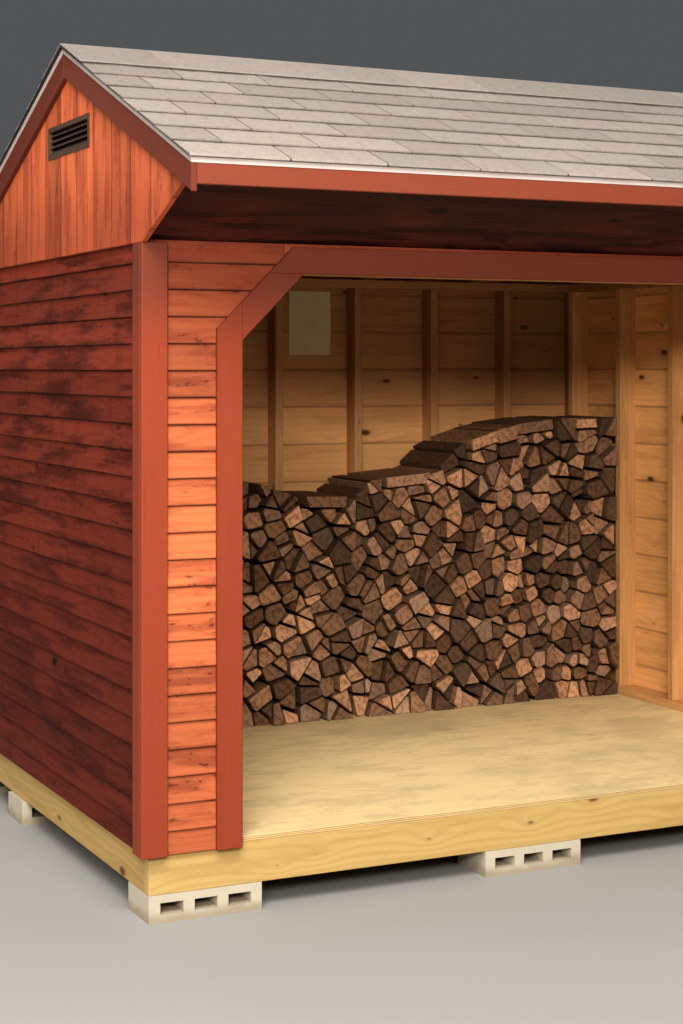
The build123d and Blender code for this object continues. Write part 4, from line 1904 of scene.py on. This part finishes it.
@dataclass
class Firewood:
    """One row of split logs, stacked as in a cord against the rear wall.

    Attributes:
        pitch: Distance between the logs' middles along and up the grid.
        wander: Reach, pace and start of the turn's wave along the stack.
        jitter: How far a middle may leave its place, as a share of the pitch.
        spare: Share of the places that stay empty.
        side_margin: Least distance of a middle from the stack's ends.
        foot_margin: Least distance from the floor.
        crown_margin: Least distance from the stack's top.
        gap: Least gap between two logs.
        gap_spread: How much wider the widest gap is.
        neighbours: Number of middles that may bound a log.
        largest_end: Area above which an end is split, before its random factor.
        end_range: Span of that factor.
        smallest_end: Area below which an end is left out.
        smallest_cut: The same, once the slabs on top have cut into it.
        roundness: Span of the share of its reach at which a log's round outside lies.
        slab_roundness: The same share for the slabs.
        slabs: Place along the stack, width and thickness of the slabs on top.
        top: Height of the stack along its length, as shares of the wall and the length.
    """

    layout: Layout
    finishes: Finishes
    pitch: Pair = (0.096, 0.084)
    turn: float = 0.42
    wander: Triple = (0.22, 2.3, 1.1)
    jitter: float = 0.27
    spare: float = 0.07
    side_margin: float = 0.022
    foot_margin: float = 0.030
    crown_margin: float = 0.028
    gap: float = 0.0075
    gap_spread: float = 0.010
    neighbours: int = 12
    largest_end: float = 0.0056
    end_range: Span = (0.60, 1.5)
    smallest_end: float = 0.0013
    smallest_cut: float = 0.0009
    roundness: Span = (0.78, 1.02)
    length: Span = (0.395, 0.420)
    slab_roundness: float = 0.98
    slabs: Sequence[Triple] = (
        (0.090, 0.150, 0.042),
        (0.275, 0.140, 0.040),
        (0.466, 0.200, 0.048),
        (0.607, 0.225, 0.046),
        (0.752, 0.180, 0.050),
        (0.842, 0.215, 0.050),
        (0.945, 0.120, 0.044),
    )
    top: Profile = (
        (0.0, 0.511),
        (0.211, 0.532),
        (0.333, 0.543),
        (0.418, 0.507),
        (0.511, 0.503),
        (0.561, 0.542),
        (0.661, 0.554),
        (0.716, 0.622),
        (0.791, 0.655),
        (0.886, 0.670),
        (1.0, 0.675),
    )

    def height(self, share: float) -> float:
        """Find how high the stack is.

        Args:
            share: Place along the stack, from 0 to 1.

        Returns:
            Its height above the floor.
        """
        wall = self.layout.plate - self.layout.deck
        for (start, low), (end, high) in zip(self.top, self.top[1:]):
            if share <= end:
                return wall * (low + (high - low) * (share - start) / (end - start))
        return wall * self.top[-1][1]

    def crown(self, x: float, low: Vector, high: Vector) -> Plane:
        """Lay a plane along the stack's uneven top.

        Args:
            x: Place of the plane's point.
            low: Low corner of the stack.
            high: High corner of the stack.

        Returns:
            The plane.
        """
        length = high.x - low.x
        share = min(max((x - low.x) / length, 0.0), 1.0)
        ahead, behind = min(share + 0.02, 1.0), max(share - 0.02, 0.0)
        rise = (self.height(ahead) - self.height(behind)) / ((ahead - behind) * length)
        level = low.z + self.height(share) - 0.007 - 0.005 * math.sin(31.0 * x)
        return Vector((x, 0.0, level)), Vector((-rise, 0.0, 1.0)).normalized()

    def seeds(self, rng: random.Random, low: Vector, high: Vector) -> list[Vector]:
        """Place the logs on a turned and wandering grid that leans with the stack.

        Args:
            rng: Source of the random draws.
            low: Low corner of the stack.
            high: High corner of the stack.

        Returns:
            The logs' middles.
        """
        points = []
        middle = (low + high) / 2
        steps = round((high.x - low.x) / self.pitch[1] * 0.8)
        reach, pace, first = self.wander
        for row in range(-steps, steps):
            for column in range(-steps, steps):
                across = column * self.pitch[0]
                up = row * self.pitch[1]
                across += rng.uniform(-1.0, 1.0) * self.jitter * self.pitch[0]
                up += rng.uniform(-1.0, 1.0) * self.jitter * self.pitch[1]
                turn = self.turn + reach * math.sin(pace * across + first)
                x = middle.x + across * math.cos(turn) - up * math.sin(turn)
                z = middle.z + across * math.sin(turn) + up * math.cos(turn)
                spot = Vector((x, 0.0, z))
                if self.is_inside(spot, low, high) and rng.random() > self.spare:
                    points.append(spot)
        return points

    def is_inside(self, spot: Vector, low: Vector, high: Vector) -> bool:
        """Tell whether a log's middle lies well inside the stack's face.

        Args:
            spot: The log's middle.
            low: Low corner of the stack.
            high: High corner of the stack.

        Returns:
            Whether it does.
        """
        point, normal = self.crown(spot.x, low, high)
        beside = low.x + self.side_margin < spot.x < high.x - self.side_margin
        above = spot.z > low.z + self.foot_margin
        return beside and above and (spot - point).dot(normal) < -self.crown_margin

    def cells(self, rng: random.Random, low: Vector, high: Vector) -> list[Cell]:
        """Part the stack's face into the ends of its logs.

        Args:
            rng: Source of the random draws.
            low: Low corner of the stack.
            high: High corner of the stack.

        Returns:
            The ends of all the logs.
        """
        side, foot = 0.001, 0.0005
        walls = [
            (Vector((low.x + side, 0.0, 0.0)), -AXIS_X),
            (Vector((high.x - side, 0.0, 0.0)), AXIS_X),
            (Vector((0.0, 0.0, low.z + foot)), -AXIS_Z),
        ]
        points = self.seeds(rng, low, high)
        done = []
        for point in points:
            gap = self.gap + rng.random() ** 2 * self.gap_spread
            planes = [*walls, self.crown(point.x, low, high)]
            others = [other for other in points if other is not point]
            others.sort(key=lambda other: (other - point).length)
            for other in others[: self.neighbours]:
                away = (other - point).normalized()
                planes.append(((point + other) / 2 - away * gap / 2, away))
            waiting = [Cell(point.copy(), planes)]
            while waiting:
                cell = waiting.pop()
                if not cell.measure():
                    continue
                if cell.area > self.largest_end * rng.uniform(*self.end_range):
                    waiting += cell.split(rng, gap)
                elif cell.area > self.smallest_end:
                    done.append(cell)
        return done

    def build(self) -> None:
        """Build the stack: first each slab on top, which cuts into the logs under it."""
        low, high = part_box("firewood_stack")
        assembly = Assembly("firewood_logs", 80)
        rng = assembly.random
        cells = self.cells(rng, low, high)
        depth = (low.y, high.y)
        for share, width, thickness in self.slabs:
            x = low.x + share * (high.x - low.x)
            point, normal = self.crown(x, low, high)
            foot = point - normal * thickness
            bed = (foot - normal * self.gap, normal)
            planes = [(point, normal), (foot, -normal)]
            for side in (-1.0, 1.0):
                end = Vector((x + side * width / 2, 0.0, point.z))
                planes.append((end, Vector((side, 0.0, rng.uniform(-0.5, 0.1))).normalized()))
            on_top = Cell(foot + normal * thickness / 2, planes)
            if on_top.measure():
                self.add_log(assembly, on_top, depth, self.slab_roundness)
            for cell in cells:
                if abs(cell.middle.x - x) < width / 2 + 0.010 and cell.middle.z > foot.z - 0.12:
                    cell.planes.append(bed)
        for cell in cells:
            if cell.measure() and cell.area > self.smallest_cut:
                self.add_log(assembly, cell, depth, rng.uniform(*self.roundness))
        coats = [self.finishes.add(finish) for finish in (SAWN_END, SPLIT_SIDE, LOG_BARK)]
        assembly.finish(coats, "split_wood", "firewood_stack")

    def add_log(self, assembly: Assembly, cell: Cell, depth: Span, roundness: float) -> None:
        """Add one split log.

        Args:
            assembly: The mesh that takes it.
            cell: Its end.
            depth: Front and rear of the stack.
            roundness: Share of its reach at which the tree's round outside cuts its corners.
        """
        rng = assembly.random
        facts = assembly.draw_facts()
        front = depth[0] + rng.uniform(0.0, 0.018) + rng.random() ** 3 * 0.042
        rear = min(front + rng.uniform(*self.length), depth[1] - 0.002)
        reach = max((corner - cell.middle).length for corner in cell.corners)
        radius = reach * roundness + 0.004
        mesh = assembly.blank()
        made = bmesh.ops.create_circle(mesh, cap_ends=True, segments=11, radius=radius)
        for vert in made["verts"]:
            worn = vert.co * rng.uniform(0.95, 1.03)
            vert.co = Vector((worn.x + cell.middle.x, front, worn.y + cell.middle.z))
        extrude(mesh, (0.0, rear - front, 0.0))
        for face in mesh.faces:
            face.material_index = 0 if abs(face.normal.y) > 0.7 else 2
        for plane in cell.planes:
            if (plane[0] - cell.middle).dot(plane[1]) < radius * 1.05:
                self.cleave(mesh, plane)
        if not mesh.faces:
            mesh.free()
            return
        wear(mesh, rng.uniform(0.0020, 0.0050))
        self.roughen(mesh, rng, front, cell.middle)
        self.map_log(mesh, facts, cell.middle + (rng.choice(cell.corners) - cell.middle) * 0.8)
        assembly.absorb(mesh)

    @staticmethod
    def cleave(mesh: bmesh.types.BMesh, plane: Plane) -> None:
        """Cut a log along a plane and give the new side the split finish.

        Args:
            mesh: The log.
            plane: The plane; what lies on its normal's side goes.
        """
        before = set(mesh.faces)
        trim_back(mesh, plane)
        for face in mesh.faces:
            if face not in before and abs(face.normal.dot(plane[1])) > 0.99:
                face.material_index = 1

    @staticmethod
    def roughen(mesh: bmesh.types.BMesh, rng: random.Random, front: float, middle: Vector) -> None:
        """Slant a log's sawn front a little and wander its corners.

        Args:
            mesh: The log.
            rng: Source of the random draws.
            front: Place of its sawn front.
            middle: Middle of its end.
        """
        lean = (rng.uniform(-0.09, 0.09), rng.uniform(-0.09, 0.09))
        for vert in mesh.verts:
            arm = vert.co - middle
            if vert.co.y < front + 0.02:
                vert.co.y += abs(lean[0] * arm.x + lean[1] * arm.z)
            vert.co.x -= arm.x * rng.uniform(0.0, 0.03)
            vert.co.z -= arm.z * rng.uniform(0.0, 0.03)
        mesh.normal_update()

    @staticmethod
    def map_log(mesh: bmesh.types.BMesh, facts: Pair, pith: Vector) -> None:
        """Lay the rings of the ends round the pith, and the grain of the sides along the log.

        Args:
            mesh: The log.
            facts: Its tone and its second random number.
            pith: The heart of the tree that it was split from.
        """
        grain = mesh.loops.layers.uv[GRAIN_MAP]
        tone = mesh.loops.layers.uv[FACTS_MAP]
        drift = facts[0] * 20.0
        for face in mesh.faces:
            end = abs(face.normal.y) > 0.6
            if end:
                face.material_index = 0
            for loop in face.loops:
                place = loop.vert.co - pith
                side = (place.y + drift, place.x * 0.8 + place.z * 0.9 + drift)
                loop[grain].uv = (place.x, place.z) if end else side
                loop[tone].uv = facts


@dataclass
class Notice:
    """A bare sheet of card tacked to the rear wall between two studs."""

    layout: Layout
    finishes: Finishes
    x: Span = (-0.045, 0.167)
    z: Span = (1.851, 2.147)
    thickness: float = 0.0008
    bulge: float = 0.004
    inset: float = 0.012
    tack_radius: float = 0.0045
    tack_lift: float = 0.001

    def build(self) -> None:
        """Build the sheet and its four tacks."""
        assembly = Assembly("bare_notice_card", 90)
        assembly.absorb(self.sheet())
        for x in (self.x[0] + self.inset, self.x[1] - self.inset):
            for z in (self.z[0] + self.inset, self.z[1] - self.inset):
                assembly.absorb(self.tack(x, z))
        coats = [self.finishes.add(CARD_PAPER), self.finishes.add(DRIP_METAL)]
        assembly.finish(coats, "floor_sheet")

    def sheet(self) -> bmesh.types.BMesh:
        """Make the sheet, bulging a little towards its free side.

        Returns:
            The sheet in its place.
        """
        width, height = self.x[1] - self.x[0], self.z[1] - self.z[0]
        mesh = Assembly.blank()
        bmesh.ops.create_grid(mesh, x_segments=6, y_segments=8, size=0.5)
        bmesh.ops.scale(mesh, vec=(width, height, 1.0), verts=mesh.verts[:])
        face = self.layout.rear - self.thickness
        middle = Vector((sum(self.x) / 2, face, sum(self.z) / 2))
        stand = Matrix.Translation(middle) @ Matrix.Rotation(math.pi / 2, 4, "X")
        bmesh.ops.transform(mesh, matrix=stand, verts=mesh.verts[:])
        for vert in mesh.verts:
            drop = (self.z[1] - vert.co.z) / height
            aside = (vert.co.x - self.x[0]) / width
            vert.co.y -= self.bulge * math.sin(drop * math.pi) * (0.4 + 0.6 * aside)
        bmesh.ops.solidify(mesh, geom=mesh.faces[:], thickness=self.thickness / 2)
        return mesh

    def tack(self, x: float, z: float) -> bmesh.types.BMesh:
        """Make one flattened tack.

        Args:
            x: Its place along the wall.
            z: Its height.

        Returns:
            The tack in its place.
        """
        mesh = Assembly.blank()
        bmesh.ops.create_uvsphere(mesh, u_segments=10, v_segments=6, radius=self.tack_radius)
        bmesh.ops.scale(mesh, vec=(1.0, 0.5, 1.0), verts=mesh.verts[:])
        face = self.layout.rear - self.thickness
        bmesh.ops.translate(mesh, vec=(x, face - self.tack_lift, z), verts=mesh.verts[:])
        for side in mesh.faces:
            side.material_index = 1
        return mesh


@dataclass
class Timbers:
    """The posts, plates, joists and trusses, each stick with worn edges and its own grain."""

    finishes: Finishes
    edge: float = 0.0022
    tail_start: float = 0.02
    sticks: Sequence[str] = (
        "studs_left",
        "studs_right",
        "studs_rear",
        "studs_front",
        "truss_uprights",
        "sole_plates",
        "top_plates",
        "front_header",
        "rafters_front",
        "rafters_rear",
        "bottom_chords",
        "overhang_struts",
    )
    lit: Sequence[str] = ("studs_left", "studs_right", "studs_front", "sole_plates")
    beams: Sequence[str] = ("rim_front", "rim_rear", "floor_joists")

    @staticmethod
    def dress(node: str, material: bpy.types.Material) -> None:
        """Give a CAD node a material.

        Args:
            node: The node.
            material: The material.
        """
        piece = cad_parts[node]
        piece.data.materials.clear()
        piece.data.materials.append(material)
        log.info("%s: finish %s", node, material.name)

    def build(self) -> None:
        """Recast the timbers and dress the sheets, blocks and metal as they were packed."""
        for number, node in enumerate(self.sticks):
            finish = FRAME_PINE if node in self.lit else SHADED_PINE
            self.stick(node, finish, "frame_timber", 100 + number)
        for number, node in enumerate(self.beams):
            self.stick(node, RIM_PINE, "floor_timber", 120 + number)
        self.dress("floor_deck", self.finishes.add(DECK_SHEET))
        for node in ("roof_deck_front", "roof_deck_rear"):
            self.dress(node, self.finishes.add(ROOF_SHEET))
        self.dress("footing_blocks", self.finishes.add(BLOCK_CONCRETE))
        self.dress("drip_edge", self.finishes.add(DRIP_METAL))
        for node in ("vent_left", "vent_right"):
            self.dress(node, self.finishes.add(VENT_METAL))

    def stick(self, node: str, finish: WoodFinish, slot: str, seed: int) -> None:
        """Recast one node, the tails under the overhang in the soffit's stain.

        Args:
            node: The node.
            finish: Its finish.
            slot: The record's material slot.
            seed: Seed of its random draws.
        """
        assembly = Assembly(f"{node}_sawn", seed)
        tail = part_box("soffit_boards")[0].y + self.tail_start
        assembly.recast(node, self.edge, (AXIS_Y * tail, -AXIS_Y))
        # The rafter tails take the soffit's darkened stain: painted shade.
        coats = [self.finishes.add(finish), self.finishes.add(SHADED_SOFFIT_STAIN)]
        assembly.finish(coats, slot, node)


@dataclass(frozen=True)
class Lamp:
    """One large soft lamp, turned towards the store."""

    name: str
    place: Triple
    size: Pair
    power: float


@dataclass(frozen=True)
class Studio:
    """The floor, the soft light and the camera at the photograph's angle."""

    floor_size: float = 120.0
    floor_tones: tuple[Colour, Colour] = (rgba(0.31, 0.31, 0.30), rgba(0.34, 0.34, 0.33))
    sky: Colour = rgba(0.92, 0.96, 1.0)
    sky_strength: float = 0.10
    lamp_colour: Triple = (1.0, 0.96, 0.90)
    aim: Triple = (0.0, 0.0, 1.2)
    lamps: Sequence[Lamp] = (
        Lamp("low front", (-4.6, -8.6, 3.9), (4.0, 1.2), 620.0),
        Lamp("high front", (-3.6, -6.4, 7.6), (6.0, 4.0), 1020.0),
        Lamp("rear", (1.5, 9.5, 6.0), (9.0, 4.0), 620.0),
        Lamp("right", (9.5, 1.5, 5.5), (6.0, 4.0), 300.0),
        Lamp("left", (-9.0, 0.6, 2.9), (6.0, 2.5), 190.0),
    )
    lens: float = 62.86
    sensor: float = 36.0
    sight: float = 400.0
    shift: Pair = (0.0405, -0.1409)
    eye: Triple = (-3.5190, -6.2372, 1.7912)
    turn: float = -25.081

    def build(self) -> None:
        """Build the floor, the lights and the camera."""
        self.build_floor()
        self.build_light()
        self.build_camera()

    def build_floor(self) -> None:
        """A wide, pale and even floor."""
        mesh = bmesh.new()
        bmesh.ops.create_grid(mesh, x_segments=2, y_segments=2, size=self.floor_size / 2)
        data = bpy.data.meshes.new("floor")
        mesh.to_mesh(data)
        mesh.free()
        graph = Graph("pale floor")
        place = metres(graph, Place.STORE)
        cloud = graph.noise(place, (0.4, 0.4, 0.4), detail=3.0)
        graph.finish("Base Color", graph.mix(cloud, *self.floor_tones))
        graph.finish("Roughness", 0.9)
        data.materials.append(graph.material)
        floor = bpy.data.objects.new("floor", data)
        bpy.context.scene.collection.objects.link(floor)

    def build_light(self) -> None:
        """A dim, even sky and five large soft lamps round the store."""
        view = bpy.context.scene.view_settings
        view.view_transform = "Standard"
        view.look = "Medium High Contrast"
        world = bpy.data.worlds.new("studio")
        bpy.context.scene.world = world
        world.use_nodes = True
        background = world.node_tree.nodes["Background"]
        background.inputs["Color"].default_value = self.sky
        background.inputs["Strength"].default_value = self.sky_strength
        for lamp in self.lamps:
            light = bpy.data.lights.new(lamp.name, "AREA")
            light.shape = "RECTANGLE"
            light.size, light.size_y = lamp.size
            light.energy = lamp.power
            light.color = self.lamp_colour
            piece = bpy.data.objects.new(lamp.name, light)
            piece.location = lamp.place
            aim = Vector(self.aim) - Vector(lamp.place)
            piece.rotation_euler = aim.to_track_quat("-Z", "Y").to_euler()
            bpy.context.scene.collection.objects.link(piece)

    def build_camera(self) -> None:
        """The camera at the photograph's place, held level."""
        data = bpy.data.cameras.new("camera")
        data.lens = self.lens
        data.sensor_width = self.sensor
        data.shift_x, data.shift_y = self.shift
        data.clip_end = self.sight
        camera = bpy.data.objects.new("camera", data)
        camera.location = self.eye
        camera.rotation_euler = (math.pi / 2, 0.0, math.radians(self.turn))
        bpy.context.scene.collection.objects.link(camera)
        bpy.context.scene.camera = camera


def main() -> None:
    """Build the store in order, from its floor to its roof, then light it."""
    logging.basicConfig(level=logging.INFO, format="%(name)s: %(message)s")
    layout = Layout()
    finishes = Finishes()
    Timbers(finishes).build()
    siding = Siding(layout, finishes)
    siding.build_sides()
    siding.build_rear()
    siding.build_front()
    trim = Trim(layout, finishes)
    trim.build_corners()
    trim.build_opening()
    trim.build_eaves()
    Gable(layout, finishes).build()
    Soffit(layout, finishes).build()
    Roof(layout, finishes).build()
    Firewood(layout, finishes).build()
    Notice(layout, finishes).build()
    Studio().build()


if __name__ == "__main__":
    main()
